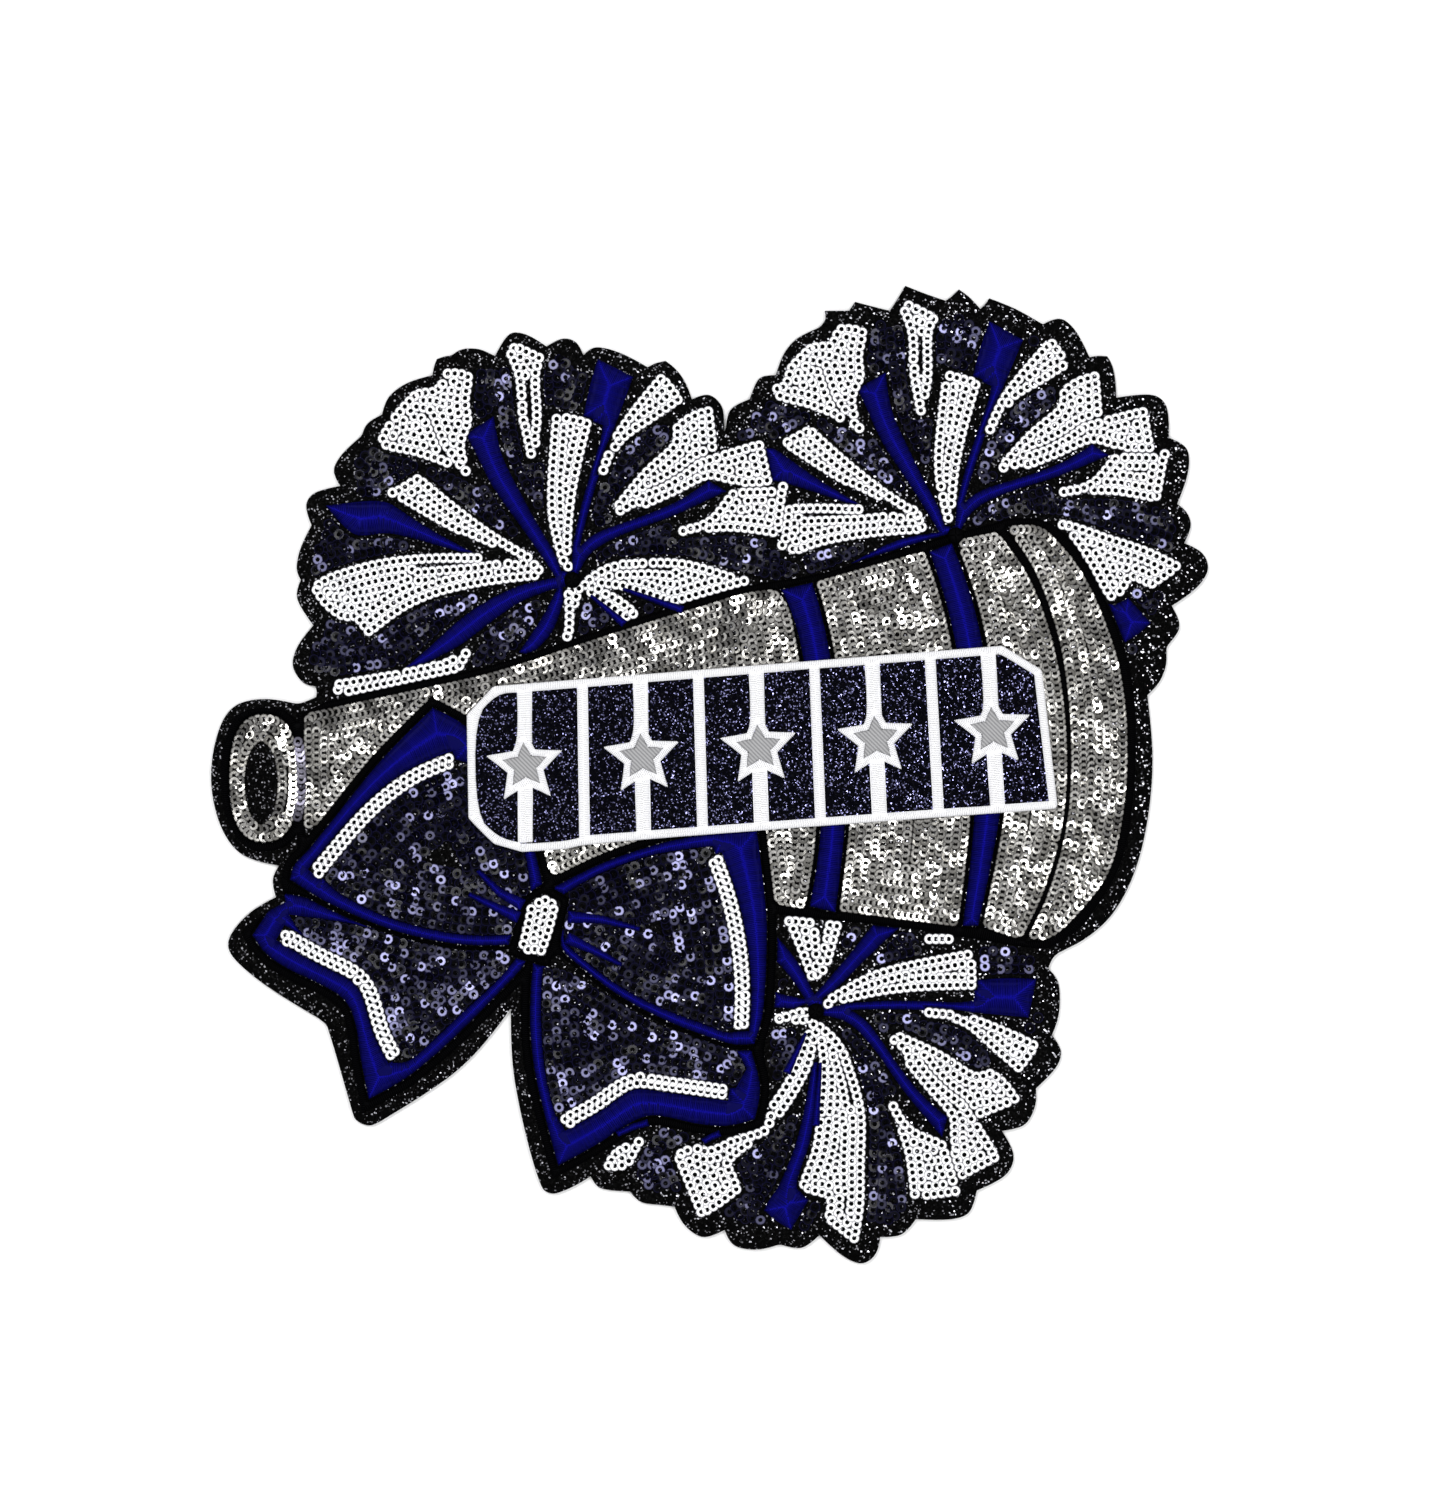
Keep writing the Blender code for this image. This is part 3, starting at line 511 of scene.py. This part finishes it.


def threads(rings, height, pitch=THREAD_PITCH):
    """Rods across a column: at each station along an inward line, a low left, a high middle and a
    low right point. A rod ends where its depth stops growing with the distance from the edge."""
    found = [walk(ring, pitch) for ring in rings]
    start = np.vstack([points for points, _ in found])
    along = np.vstack([direction for _, direction in found])
    inwards = leftwards(along)
    reach = np.linspace(0.2, LONGEST_STITCH, 32)
    tried = start[:, None] + inwards[:, None] * reach[None, :, None]
    deep = field(rings)(tried.reshape(-1, 2)).reshape(len(start), -1)
    steps = np.cumprod(deep > reach - REACH_SLACK, axis=1).sum(axis=1)
    keep = steps > 1
    start, along, inwards = start[keep], along[keep], inwards[keep]
    length = reach[steps[keep] - 1] + 0.1
    run = STATIONS[None, :] * length[:, None]
    middle = start[:, None] + inwards[:, None] * run[..., None]
    lift = height(run)
    half = pitch * ROD_HALF_WIDTH
    rods = np.empty((len(start), len(STATIONS), 3, 3))
    section = ((-half, ROD_FOOT), (0.0, ROD_CREST), (half, ROD_FOOT))
    for corner, (across, above) in enumerate(section):
        rods[:, :, corner, :2] = middle + along[:, None] * across
        rods[:, :, corner, 2] = lift + above
    count = len(STATIONS) * 3
    station = np.arange(len(STATIONS) - 1)[:, None] * 3
    corner = np.arange(3)[None, :]
    after = (corner + 1) % 3
    quads = [station + corner, station + after, station + 3 + after, station + 3 + corner]
    quads = np.stack(quads, -1).reshape(-1, 4)
    ends = np.array([[2, 1, 0], [count - 3, count - 2, count - 1]])
    first = np.arange(len(start))[:, None, None] * count
    # A thread's tone: the painted crest highlight, and a small random tone of its own.
    crest = PAINTED_CREST_HIGHLIGHT[None] * np.minimum(length / FULL_CREST_HIGHLIGHT, 1)[:, None]
    crest = crest + random.uniform(0, 0.12, len(start))[:, None]
    tone = np.repeat(np.clip(crest, 0, 1).ravel(), 3)
    ends, quads = (ends[None] + first).reshape(-1, 3), (quads[None] + first).reshape(-1, 4)
    return rods.reshape(-1, 3), ends, quads, tone


CUSHION_DROP = 0.06     # millimetres by which a cushion lies below its threads


def satin(name, material, nodes, slot, edge, full, radius, bottom, pitch=THREAD_PITCH, drawn=None):
    """Satin-stitched plates as one piece: a cushion for each, and its threads. Edge, full and
    bottom are heights, and drawn gives outlines that have no plate."""
    parts = []
    height = rounded(edge, full, radius)
    for rings in drawn or [outlines(node) for node in nodes]:
        parts.append(slab(rings, lambda deep: height(deep) - CUSHION_DROP, bottom, 1.0))
        parts.append(threads(rings, height, pitch))
    points, triangles, quads, tone = joined(parts)
    made = piece(name, material, nodes, slot, points, triangles, quads, tone=tone)
    print(name, len(triangles) + 2 * len(quads), "triangles")
    return made


named = sorted(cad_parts)
for motif in ("left_pompom", "right_pompom", "bottom_pompom"):
    strands = [node for node in named if node.startswith(motif) and node.endswith("thread_strands")]
    satin(f"{motif}_satin", navy_thread, strands, "navy_thread", 1.65, 2.55, 1.5, 1.45)
bands = [node for node in named if node.endswith("_band")]
satin("megaphone_band_satin", navy_thread, bands, "navy_thread", 1.65, 2.4, 1.5, 1.45)
edgings = [node for node in named if node.endswith("_edging")]
satin("bow_edging_satin", navy_thread, edgings, "navy_thread", 1.65, 2.55, 1.5, 1.45)
satin("black_outline_satin", black_thread, ["black_satin_outline"], "black_thread",
      1.6, 2.3, 1.2, 1.45, 0.6)

# %% [markdown]
# ## Sequins
# A machine lays sequins from a reel in rows, each one over the edge of the last, and holds each with
# a stitch through its hole. The rows follow the outline of the area: the first just inside it, the
# next one row further in. So a row is the outline moved inwards, and a point on it counts only where
# the outline is really that far away. Where rows from two sides meet, small places stay free
# between them. Each of those gets a sequin at the end, the deepest place first.

# %% Place sequins in rows that follow the outline
ROW_STEP = 0.12         # millimetres between the points that a row is drawn with
LONGEST_JUMP = 2.4      # a longer way to the next point starts a new line


def spaced(points, pitch):
    """Points a pitch apart along lines, given as dense points; a long jump ends a line."""
    jumps = np.linalg.norm(np.diff(points, axis=0), axis=1)
    placed, directions = [], []
    for line in np.split(points, np.flatnonzero(jumps > LONGEST_JUMP) + 1):
        if len(line) < 2:
            continue
        reach = np.r_[0, np.cumsum(np.linalg.norm(np.diff(line, axis=0), axis=1))]
        count = int(reach[-1] / pitch)
        if count < 1:
            continue
        at = np.arange(count + 1) * pitch + (reach[-1] - count * pitch) / 2
        spot = np.column_stack([np.interp(at, reach, line[:, k]) for k in (0, 1)])
        ahead, behind = (np.column_stack([np.interp(at + way, reach, line[:, k]) for k in (0, 1)])
                         for way in (0.5, -0.5))
        placed.append(spot)
        directions.append(ahead - behind)
    if not placed:
        return np.zeros((0, 2)), np.zeros((0, 2))
    direction = np.vstack(directions)
    length = np.maximum(np.linalg.norm(direction, axis=1), 1e-9)
    return np.vstack(placed), direction / length[:, None]


def apart(spots, room):
    """Which places stay, taken in order, when each that is too near to a kept one is dropped."""
    kept = np.empty_like(spots)
    count, keep = 0, np.zeros(len(spots), bool)
    for index, spot in enumerate(spots):
        if not (((kept[:count] - spot) ** 2).sum(axis=1) < room * room).any():
            kept[count] = spot
            count += 1
            keep[index] = True
    return keep


FILL_STEP = 0.3         # millimetres between the places of the net
ROW_GAP = 1.75          # a place is free when it is further than this from every sequin


def gaps(rings, deep_at, spots, narrowest, deepest, sign):
    """Free places of a square net between two depths, the deepest first."""
    edge = np.vstack(rings)
    margin = 2 * ROW_GAP + (0 if sign > 0 else deepest)
    low = edge.min(axis=0) - margin
    columns, lines = (np.arange(0, high + margin - start, FILL_STEP)
                      for start, high in zip(low, edge.max(axis=0)))
    net = low + np.stack(np.meshgrid(columns, lines, indexing="ij"), -1)
    deep = deep_at(net.reshape(-1, 2)).reshape(net.shape[:2]) * sign
    free = (deep > narrowest) & (deep < deepest)
    reach = math.ceil(ROW_GAP / FILL_STEP)
    steps = np.arange(-reach, reach + 1)
    around = np.stack(np.meshgrid(steps, steps), -1).reshape(-1, 2)
    around = around[np.hypot(*around.T) * FILL_STEP < ROW_GAP]
    taken = np.rint((spots - low) / FILL_STEP).astype(int)[:, None] + around
    free[taken[..., 0], taken[..., 1]] = False
    return net[free][np.argsort(-deep[free], kind="stable")]


ROW_SLACK = 0.08        # how far a point of a row may be too near to the outline
CLOSEST = 0.74          # as a share of the pitch, how near sequins of different rows may be
EVERY = 8               # a filled place takes its direction from one outline point in this many


def rows(rings, levels, pitch, sign=1, narrowest=0.75):
    """Sequin places and row directions: lines at these distances inside an outline, or outside it
    when the sign is -1, and then the free places between them."""
    deep_at = field(rings, levels[-1] + 2)
    walks = [walk(ring, ROW_STEP) for ring in rings]
    places, directions = [np.zeros((0, 2))], [np.zeros((0, 2))]
    for distance in levels:
        for points, direction in walks:
            moved = points + leftwards(direction) * distance * sign
            moved = moved[deep_at(moved) * sign > distance - ROW_SLACK]
            if len(moved) > 1:
                spots, along = spaced(moved, pitch)
                places.append(spots)
                directions.append(along)
    spots, directions = np.vstack(places), np.vstack(directions)
    keep = apart(spots, pitch * CLOSEST)
    spots, directions = spots[keep], directions[keep]
    more = gaps(rings, deep_at, spots, narrowest, levels[-1] + 1.0, sign)
    more = more[apart(more, ROW_GAP)]
    beside, heading = (np.vstack(column)[::EVERY] for column in zip(*walks))
    nearest = ((more[:, None] - beside[None]) ** 2).sum(axis=2).argmin(axis=1)
    return np.vstack([spots, more]), np.vstack([directions, heading[nearest]])


# %% [markdown]
# ### The shape of a sequin
# A sequin is a 3 mm disc of film with a 1.3 mm hole. Ten or twelve sides are enough, as thousands
# of them are seen together. It leans back on the one before it, by the same angle down the row. The
# cloth below sways it a little with its neighbours, and it has a small tilt of its own. Each disc
# then mirrors another part of the room, which is what makes sequin work glitter. The section below
# runs from the hole's upper edge over the rim and back below, and is turned once round.

# %% Build all the sequins of an area at once
OUTER, HOLE = 1.5, 0.66                     # radii in millimetres
HOLLOW, FILM_THICKNESS, RIM_WIDTH = 0.02, 0.08, 0.3
SECTION = ((HOLE, FILM_THICKNESS), (OUTER - RIM_WIDTH, HOLLOW + FILM_THICKNESS),
           (OUTER, HOLLOW + FILM_THICKNESS), (OUTER, HOLLOW), (HOLE, 0.0))
PAINTED_RIM_BAND = np.array([0.0, 0.0, 1.0, 1.0, 0.0])   # where the section is the rim, which gets the painted rim colour
SWAY, SWAY_LENGTH = 4.0, 13.0               # degrees, and millimetres from wave to wave
LAY = 0.05                                  # how far up or down a disc may lie from the rest


def sway(spots):
    """Two smooth tilts in degrees by place: sums of sine waves about SWAY_LENGTH long."""
    x, y = spots.T * 2 * math.pi / SWAY_LENGTH
    along = np.sin(x + 0.3 * y) + np.sin(0.7 * y - 0.5 * x + 1.3) * 0.7
    across = np.sin(0.9 * y + 0.2 * x + 2.1) + np.sin(0.6 * x + 0.8 * y + 0.4) * 0.7
    return SWAY * along, SWAY * across


def sequins(spots, directions, height, lean, wobble, sides=12, glint_rarity=1, facing=0.0):
    """Discs turned to their row: u along it and down by the lean, v across it, w their normal. A
    high glint_rarity leaves few light ones, which on navy discs are painted glints, and facing shifts
    each normal for discs turned one way."""
    count = len(spots)
    angle = np.arange(sides) * 2 * math.pi / sides
    local = np.array([[r * math.cos(a), r * math.sin(a), z] for r, z in SECTION for a in angle])
    along, across = sway(spots)
    pitched = np.radians(lean + along + random.normal(0, wobble, count))
    rolled = np.radians(across + random.normal(0, wobble, count))
    level = np.column_stack([directions, np.zeros(count)])
    up = np.tile((0.0, 0.0, 1.0), (count, 1))
    u = level * np.cos(pitched)[:, None] - up * np.sin(pitched)[:, None]
    side = np.cross(up, level)
    v = side * np.cos(rolled)[:, None] - up * np.sin(rolled)[:, None]
    w = np.cross(u, v)
    w[:, :2] += facing
    w /= np.linalg.norm(w, axis=1)[:, None]
    v = np.cross(w, u)
    v /= np.linalg.norm(v, axis=1)[:, None]
    u = np.cross(v, w)
    centre = np.column_stack([spots, np.full(count, height) + random.uniform(-LAY, LAY, count)])
    points = (centre[:, None] + local[None, :, :1] * u[:, None] + local[None, :, 1:2] * v[:, None]
              + local[None, :, 2:] * w[:, None])
    circle = np.arange(len(SECTION))[:, None] * sides
    following = np.roll(circle, -1, axis=0)
    here = np.arange(sides)[None, :]
    beside = (here + 1) % sides
    quads = [circle + here, following + here, following + beside, circle + beside]
    quads = np.stack(quads, -1).reshape(-1, 4)
    quads = quads[None] + np.arange(count)[:, None, None] * len(local)
    # A disc's tone: on navy discs its light end is a painted glint, on silver ones partly a painted
    # reflection.
    tone = np.repeat(random.uniform(0, 1, count) ** glint_rarity, len(local))
    return points.reshape(-1, 3), NO_TRIANGLES, quads.reshape(-1, 4), tone


def sewn(name, material, nodes, slot, parts, sides=12):
    """One piece of all the sequins in parts, its circles sharp so that a disc's faces stay crisp."""
    points, _, quads, tone = joined(parts)
    count = len(points) // (len(SECTION) * sides)
    # The rim band takes the finish's rim colour: painted shade on white and silver discs, a painted
    # reflection ring on navy ones.
    rim = np.tile(np.repeat(PAINTED_RIM_BAND, sides), count)
    made = piece(name, material, nodes, slot, points, quads, tone=tone, rim=rim)
    ends = np.empty(len(made.data.edges) * 2, int)
    made.data.edges.foreach_get("vertices", ends)
    ring = ends.reshape(-1, 2) // sides
    sharp = made.data.attributes.new("sharp_edge", "BOOLEAN", "EDGE")
    sharp.data.foreach_set("value", ring[:, 0] == ring[:, 1])
    print(name, count, "sequins")
    return made


# %% [markdown]
# ### Creases and hidden rows
# White strands lie side by side with a narrow crease between them. Where one plate stands for two
# or more of them, the crease is put back as a narrow slit in its outline, which the rows then
# follow. The plaque lies over the megaphone, so sequins well under it are left out.

# %% Place the creases between the strands of a pom-pom
ARTWORK_MIDDLE = np.array([0.25, 0.05])     # where the frame's middle is in the artwork's own axes
# Each pom-pom's hub in the artwork's axes, its turn in degrees and its size.
POM_POMS = {"left_pompom": ((-38.0, 54.5), 0.0, 1.0),
            "right_pompom": ((69.0, 67.0), -2.5, 0.975),
            "bottom_pompom": ((30.0, -66.0), -75.0, 1.0)}
CREASES = (             # bent lines in millimetres from the hub
    ((-44.0, 47.0), (-40.5, 46.5), (-39.0, 42.5), (-37.0, 37.5), (-33.0, 32.0), (-30.5, 28.5)),
    ((-11.8, 57.0), (-12.8, 50.0), (-12.4, 45.0)),
    ((-31.0, 12.6), (-25.0, 10.0), (-15.0, 5.6)),
    ((-44.0, 3.6), (-28.0, 4.8), (-17.0, 6.4)),
    ((19.0, 24.8), (24.5, 26.8), (30.0, 30.0), (35.0, 34.0), (42.0, 36.2)),
    ((44.5, 25.8), (58.0, 26.2)),
    ((13.0, 2.9), (21.0, 3.2), (28.0, 2.6)),
)


def tapered(path, wide, narrow):
    """A closed outline round a bent line, as broad as wide at its start and as narrow at its end."""
    path = np.array(path, float)
    at = np.linspace(0, len(path) - 1, 16)
    line = np.column_stack([np.interp(at, range(len(path)), path[:, k]) for k in (0, 1)])
    along = np.gradient(line, axis=0)
    side = leftwards(along / np.linalg.norm(along, axis=1)[:, None])
    half = np.linspace(wide, narrow, len(line))[:, None] / 2
    return np.vstack([line - side * half, (line + side * half)[::-1]])


def on_pompom(motif, ring):
    """An outline from a pom-pom's own axes: made smaller, turned, and moved to the hub."""
    hub, turn, size = POM_POMS[motif]
    cosine, sine = math.cos(math.radians(turn)), math.sin(math.radians(turn))
    return ring @ np.array([[cosine, sine], [-sine, cosine]]) * size + hub - ARTWORK_MIDDLE


def signed_area(ring):
    """Half the sum of neighbouring points' cross products: positive for an anticlockwise line."""
    x, y = ring.T
    return 0.5 * float(np.sum(x * np.roll(y, -1) - np.roll(x, -1) * y))


PINHOLE = 40.0          # square millimetres, the largest hole that is sewn over
CREASE_SHARE = 0.6      # how much of a crease has to lie in the strand


def creased(node):
    """A white strand's outline without its pinholes, and with the creases that lie in it as slits."""
    rings = [ring for ring in outlines(node)
             if signed_area(ring) > 0 or signed_area(ring) < -PINHOLE]
    motif = "_".join(node.split("_")[:2])
    slits = [on_pompom(motif, tapered(path, 0.5, 0.4))[::-1] for path in CREASES]
    return rings + [slit for slit in slits if inside(slit, rings).mean() > CREASE_SHARE]


# %% Sew the white and the silver sequins
under_plaque = field([max(outlines("plaque_navy_glitter"), key=len)])
NAVY_GLINT_RARITY, TAIL_GLINT_RARITY = 13, 8            # how rare the navy discs with a painted glint are, and in the bow's tails


def levels(first, spacing, deepest):
    """The distances of the rows from the outline."""
    return np.arange(first, deepest, spacing)


def sequin_work(name, material, nodes, slot, spacing, pitch, lean, wobble, first=1.4, height=1.95,
                sides=12, glint_rarity=1, deepest=8.0):
    """The sequins of one motif: rows in each plate, less those well under the plaque. Spacing is
    from row to row and pitch along one; lean and wobble are tilts in degrees."""
    parts = []
    for node in nodes:
        rings = creased(node) if node.endswith("white_strands") else outlines(node)
        spots, directions = rows(rings, levels(first, spacing, deepest), pitch)
        shown = under_plaque(spots) < 1.0
        if shown.any():
            spots, directions = spots[shown], directions[shown]
            parts.append(sequins(spots, directions, height, lean, wobble, sides, glint_rarity))
    return sewn(name, material, nodes, slot, parts, sides)


BOW_LOBES = ("left_loop", "right_loop", "left_tail", "right_tail")
for motif in POM_POMS:
    strands = [node for node in named if node.startswith(motif) and node.endswith("white_strands")]
    sequin_work(f"{motif}_white_sequins", white_sequin, strands, "white_sequin",
                2.25, 2.0, 5, 2.5, first=1.25, deepest=12.0)
for lobe in BOW_LOBES:
    sequin_work(f"bow_{lobe}_trim_sequins", white_sequin, [f"bow_{lobe}_white_trim"],
                "white_sequin", 2.15, 2.0, 5, 2)
sequin_work("bow_knot_sequins", white_sequin, ["bow_knot"], "white_sequin", 2.15, 2.0, 5, 2.5)
for part in ("neck", "middle", "bell", "rim"):
    sequin_work(f"megaphone_{part}_sequins", silver_sequin, [f"megaphone_{part}_panel"],
                "silver_sequin", 2.15, 1.7, 7, 4.5, first=0.9, sides=10, deepest=26.0)

# %% [markdown]
# ### The mouthpiece
# The ring of the mouthpiece is rounded in the drawing of the megaphone: one column of sequins on
# its right faces the light, and the column behind the lip lies in shade. So the first are all
# turned the same way, and the second get a darker copy of the silver film with the shade painted
# into it, sewn over the black outline.

# %% Sew the mouthpiece's ring and lip
TO_UPPER_LIGHT = np.array([-0.048, 0.21])   # turns the normals towards the upper left light
# Places in the ring are measured from its middle, as shares of its half width and half height.
LIT_FROM, LIT_SPAN = 0.2, 0.6
LIP_FROM, LIP_SPAN = 0.3, 0.62
LIT_WIDTH = 2.0         # millimetres from the ring's edge
mouth = outlines("mouthpiece_ring")
mouth_edge = max(mouth, key=len)
mouth_middle = (mouth_edge.max(axis=0) + mouth_edge.min(axis=0)) / 2
mouth_half = (mouth_edge.max(axis=0) - mouth_edge.min(axis=0)) / 2
spots, directions = rows(mouth, levels(1.3, 2.1, 8.0), 1.7)
place = (spots - mouth_middle) / mouth_half
lit = (place[:, 0] > LIT_FROM) & (np.abs(place[:, 1]) < LIT_SPAN)
lit &= field([mouth_edge])(spots) < LIT_WIDTH
ring_work = [sequins(spots[~lit], directions[~lit], 1.95, 7, 4.5, 10),
             sequins(spots[lit], directions[lit], 2.1, 0, 1.0, 10, facing=TO_UPPER_LIGHT)]
sewn("mouthpiece_sequins", silver_sequin, ["mouthpiece_ring"], "silver_sequin", ring_work, 10)
spots, directions = rows([mouth_edge], levels(0.9, 9.0, 2.0), 1.5, sign=-1, narrowest=2.0)
place = (spots - mouth_middle) / mouth_half
lip = (place[:, 0] > LIP_FROM) & (np.abs(place[:, 1]) < LIP_SPAN)
lip_work = [sequins(spots[lip], directions[lip], 2.4, 7, 5, 10)]
sewn("mouthpiece_lip_sequins", shaded_silver, [], "silver_sequin", lip_work, 10)

# %% [markdown]
# ### Navy sequins
# In the pom-poms they fill what the other strands leave, in rows beside them, and bare glitter shows
# as a dark line round each strand. In the bow they are sewn further apart.

# %% Sew the navy sequins
CLEAR_OF_CUT = 4.6      # millimetres from the cut edge that stay bare glitter
CLEAR_OF_LINE, CLEAR_OF_STRANDS = 1.3, 2.0  # and from the field's own edge, and other strands


def navy_pompom(motif):
    """Rows outside the strands of a pom-pom and inside its navy field, clear of the cut edge."""
    strands = [node for node in named if node.startswith(motif) and node.endswith("_strands")]
    rings = [ring for node in strands for ring in outlines(node)]
    spots, directions = rows(rings, levels(2.6, 2.4, 10.5), 2.0, sign=-1, narrowest=2.6)
    others = [ring for node in named if node.endswith("_strands") and not node.startswith(motif)
              for ring in outlines(node)]
    keep = field(outlines(f"{motif}_navy_sequins"))(spots) > CLEAR_OF_LINE
    keep &= field(cut_edge)(spots) > CLEAR_OF_CUT
    keep &= field(others)(spots) < -CLEAR_OF_STRANDS
    work = sequins(spots[keep], directions[keep], 1.85, 7, 7, 10, NAVY_GLINT_RARITY)
    sewn(f"{motif}_navy_sequin_work", navy_sequin, [f"{motif}_navy_sequins"], "navy_sequin", [work], 10)


for motif in POM_POMS:
    navy_pompom(motif)
for lobe in BOW_LOBES:
    # The bow's tails get more navy discs with a painted glint than its loops.
    sequin_work(f"bow_{lobe}_navy_sequin_work", navy_sequin, [f"bow_{lobe}_navy_sequins"],
                "navy_sequin", 2.5, 2.1, 6, 7, first=1.3, height=1.85, sides=10,
                glint_rarity=NAVY_GLINT_RARITY if lobe.endswith("loop") else TAIL_GLINT_RARITY, deepest=18.0)

# %% [markdown]
# ## Small satin strands with no plate of their own
# Folds of satin run out of the bow's knot over its loops, short strands fan from the hubs of two
# pom-poms, and two ends of strands show below the bow. They are too small to be bodies in the
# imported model, so each is drawn here as a tapered band along a bent line. A black dot at each hub
# covers the ends of all its strands, as a bare hub would show them running into one another.

# %% Sew the folds of the bow and the short hub strands
folds = [[tapered(path, 3.6, 1.3) - ARTWORK_MIDDLE] for path in (
    ((-39.4, -39.6), (-30.4, -40.2), (-19.2, -43.0)),
    ((-39.8, -45.4), (-33.2, -48.4), (-24.2, -53.0)),
    ((-51.7, -36.4), (-58.4, -32.8), (-64.5, -26.6)),
    ((-52.8, -39.8), (-59.2, -37.0), (-67.0, -33.2)),
)]
satin("bow_fold_satin", navy_thread, [], "navy_thread", 1.9, 2.75, 1.0, 1.8, drawn=folds)
HUB_DOT, DOT_POINTS = 2.3, 24       # the black dot's radius, and the points round it
HUB_STRANDS = (((5.0, -4.2), (9.5, -8.0), (14.6, -12.4)), ((14.0, -2.4), (23.0, -5.6), (31.0, -8.4)))
for motif in ("left_pompom", "bottom_pompom"):
    drawn = [[on_pompom(motif, tapered(path, 1.0, 2.4))] for path in HUB_STRANDS]
    satin(f"{motif}_hub_satin", navy_thread, [], "navy_thread", 1.9, 2.65, 1.0, 1.6, drawn=drawn)
edge_strands = [[tapered(path, 1.7, 2.0) - ARTWORK_MIDDLE] for path in (
    ((-25.6, -100.3), (-21.0, -98.2), (-16.8, -97.0)),
    ((-1.6, -102.4), (0.9, -101.0), (3.3, -100.0)),
)]
satin("bottom_edge_satin", navy_thread, [], "navy_thread", 2.2, 2.95, 1.0, 1.8, drawn=edge_strands)
turn = np.linspace(0, 2 * math.pi, DOT_POINTS, endpoint=False)
dot = HUB_DOT * np.column_stack([np.cos(turn), np.sin(turn)])
satin("hub_dots_satin", black_thread, [], "black_thread", 2.6, 3.0, 1.0, 1.8,
      drawn=[[on_pompom(motif, dot)] for motif in POM_POMS])

# %% [markdown]
# ## The plaque
# Grey twill below, a navy glitter sheet with star-shaped windows over it, and white satin stitch
# over every cut edge. It lies on top of the megaphone's sequins, so it stands proudest.

# %% Make the plaque
twill_sheet = cloth("twill_sheet", twill, "plaque_grey_twill", "grey_twill",
                    outlines("plaque_grey_twill"), rounded(3.1, 3.1, 1), 1.5, 3.0)
glitter_sheet = cloth("plaque_glitter_sheet", navy_glitter, "plaque_navy_glitter", "navy_glitter",
                      outlines("plaque_navy_glitter"), rounded(3.45, 3.45, 1), 3.1, 3.0)
satin("plaque_satin", white_thread, ["plaque_white_satin"], "white_thread", 3.3, 4.0, 1.1, 2.6)

# %% [markdown]
# ## Floor, light and camera
# A pale tabletop, three soft lights and a bright room. The camera looks straight down from 0.9 m
# through a long lens, so that the patch's outline isn't distorted. The tabletop is large, so that
# a low view doesn't meet its edge close behind the patch.

# %% Set the stage
floor_material, floor_tree, floor_surface = finish("pale_tabletop", Roughness=0.7)
floor_surface.inputs["Base Color"].default_value = linear("#f6f6f6")
bpy.ops.mesh.primitive_plane_add(size=14, location=(0, 0, -0.05 * MM))
floor = bpy.context.active_object
floor.name = "tabletop"
floor.data.materials.append(floor_material)

# A mirror-like sequin is only as lively as the room that it mirrors, so the ceiling has soft light and
# dark parts rather than one flat tone. Below 20 degrees over the horizon the room is plain and pale.
world = bpy.data.worlds.new("studio_room")
bpy.context.scene.world = world
world.use_nodes = True
room = world.node_tree
direction = add(room, "ShaderNodeTexCoord")
patches = add(room, "ShaderNodeTexNoise", Vector=direction.outputs["Generated"],
              Scale=5.0, Detail=1.0)
up = add(room, "ShaderNodeSeparateXYZ", Vector=direction.outputs["Generated"])
plain = add(room, "ShaderNodeMapRange", {"interpolation_type": "SMOOTHSTEP"}, Value=up.outputs["Z"],
            From_Min=0.35, From_Max=0.6, To_Min=1.0, To_Max=0.0)
contrast = add(room, "ShaderNodeMapRange", {"interpolation_type": "SMOOTHSTEP"},
               Value=patches.outputs[0], From_Min=0.38, From_Max=0.62, To_Min=plain.outputs[0])
shade = add(room, "ShaderNodeMix", COLOURS, i0=contrast.outputs[0], i6=linear("#5c5d63"),
            i7=linear("#ffffff"))
backdrop = room.nodes["Background"]
room.links.new(shade.outputs[2], backdrop.inputs["Color"])
backdrop.inputs["Strength"].default_value = 0.8


def soft_light(name, place, size, power):
    """A square area light aimed at the middle of the patch."""
    light = bpy.data.lights.new(name, "AREA")
    light.size, light.energy = size, power
    lamp = bpy.data.objects.new(name, light)
    lamp.location = place
    lamp.rotation_euler = (-Vector(place)).to_track_quat("-Z", "Y").to_euler()
    bpy.context.scene.collection.objects.link(lamp)


soft_light("upper_left_panel", (-0.42, 0.5, 1.15), 0.32, 7.2)
soft_light("right_panel", (0.6, 0.12, 1.15), 0.28, 4.4)
soft_light("near_panel", (-0.08, -0.55, 1.15), 0.24, 3.3)

VIEW_HEIGHT = 0.422     # how much of the table the frame's height takes in
CAMERA_HEIGHT = 0.9
SENSOR_WIDTH = 36
camera_data = bpy.data.cameras.new("camera")
camera_data.sensor_width = SENSOR_WIDTH
camera_data.lens = SENSOR_WIDTH * CAMERA_HEIGHT / VIEW_HEIGHT
camera = bpy.data.objects.new("camera", camera_data)
camera.location = (0.00365, 0.006, CAMERA_HEIGHT)
bpy.context.scene.collection.objects.link(camera)
bpy.context.scene.camera = camera
# The Standard view shows colours as their hex values say.
bpy.context.scene.view_settings.view_transform = "Standard"
